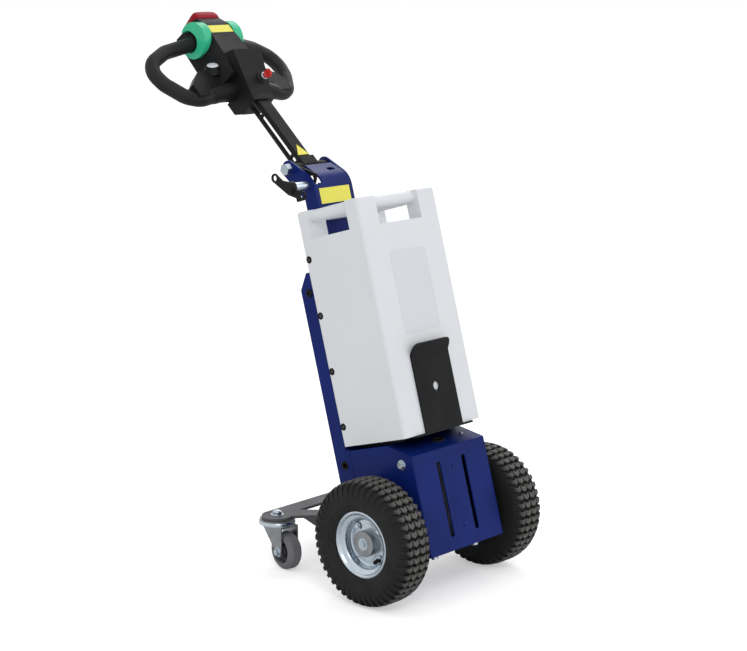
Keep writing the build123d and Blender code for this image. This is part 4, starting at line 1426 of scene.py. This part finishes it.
@dataclass
class Studio:
    """Pale floor, soft lamps and the camera of the picture, in metres, degrees and watts."""

    eye: Spot = (-2.7982, -2.4115, 1.2923)
    azimuth: float = -47.44
    elevation: float = 11.45
    lens: float = 89.56
    sensor: float = 36.0
    floor_size: float = 60.0
    floor_glow: float = 0.42
    sky_light: float = 0.75

    def build(self) -> None:
        """Sets the floor, the lamps and the camera."""
        bpy.context.scene.view_settings.view_transform = "Standard"
        self.floor()
        self.sky()
        self.lamp("lamp_key", (-2.4, -3.0, 3.4), (0.0, -0.1, 0.5), 1.2, 36.0)
        self.lamp("lamp_fill", (2.8, -2.2, 2.4), (0.0, -0.1, 0.5), 2.6, 16.0)
        self.lamp("lamp_top", (1.8, 0.9, 2.5), (0.0, 0.0, 0.85), 1.4, 12.0)
        self.camera()

    def floor(self) -> None:
        """Lays a wide pale floor that keeps the shadow."""
        bare()
        bpy.ops.mesh.primitive_plane_add(size=self.floor_size)
        ground = started()
        ground.name = "floor"
        paint = bpy.data.materials.new("floor pale")
        paint.use_nodes = True
        tree = paint.node_tree
        tree.nodes.clear()
        matt = add_node(tree, "BsdfDiffuse", {"Color": linear("f2f2f2")}).outputs[0]
        white = {"Color": linear("ffffff"), "Strength": self.floor_glow}
        glow = add_node(tree, "Emission", white).outputs[0]
        seen = add_node(tree, "LightPath").outputs["Is Camera Ray"]
        both = add_node(tree, "AddShader", None, {0: matt, 1: glow}).outputs[0]
        mix = add_node(tree, "MixShader", None, {0: seen, 1: matt, 2: both})
        add_node(tree, "OutputMaterial", None, {"Surface": mix.outputs[0]})
        ground.data.materials.append(paint)

    def sky(self) -> None:
        """Gives soft light all round, and white where the backdrop shows."""
        world = bpy.data.worlds.new("studio")
        bpy.context.scene.world = world
        world.use_nodes = True
        tree = world.node_tree
        tree.nodes.clear()
        rays = add_node(tree, "LightPath").outputs
        shown = rays["Is Camera Ray"]
        for ray in ("Is Glossy Ray", "Is Transmission Ray"):
            larger = add_node(tree, "Math", {"operation": "MAXIMUM"}, {0: shown, 1: rays[ray]})
            shown = larger.outputs[0]
        level = add_node(tree, "MapRange", {3: self.sky_light, 4: 1.0}, {0: shown}).outputs[0]
        light = add_node(tree, "Background", {"Color": linear("ffffff")}, {"Strength": level})
        add_node(tree, "OutputWorld", None, {"Surface": light.outputs[0]})

    def lamp(self, name: str, spot: Point, aim: Point, size: float, power: float) -> None:
        """Hangs one square soft lamp.

        Args:
            name: The lamp's name.
            spot: Where it hangs.
            aim: The point that it faces.
            size: Its width.
            power: Its power.
        """
        bare()
        bpy.ops.object.light_add(type="AREA", location=spot)
        lamp = started()
        lamp.name = name
        lamp.data.size = size
        lamp.data.energy = power
        ray = Vector(aim) - Vector(spot)
        lamp.rotation_euler = ray.to_track_quat("-Z", "Y").to_euler()

    def camera(self) -> None:
        """Sets the camera that was fitted to the picture."""
        bare()
        x, y, z = self.eye
        turn = (math.radians(90 - self.elevation), 0.0, math.radians(self.azimuth))
        bpy.ops.object.camera_add(location=(x, AXLE.y + y, z), rotation=turn)
        camera = started()
        camera.data.lens = self.lens
        camera.data.sensor_width = self.sensor
        camera.data.sensor_fit = "HORIZONTAL"
        bpy.context.scene.camera = camera


def paint_nodes() -> None:
    """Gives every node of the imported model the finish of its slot."""
    for row in frame["record"]["subparts"]:
        node = frame["nodes"][row["node"]]
        node.data.materials.clear()
        node.data.materials.append(NODE_FINISH[row["material_slot"]].material())


def main() -> None:
    """Builds the machine's looks in order."""
    logging.basicConfig(level=logging.INFO, format="%(name)s %(message)s")
    paint_nodes()
    Studio().build()
    for side in Side:
        DriveWheel(side).build()
    for assembly in (Chassis(), Battery(), Column(), Tiller(), ControlHead(), Casters()):
        assembly.build()


if __name__ == "__main__":
    main()
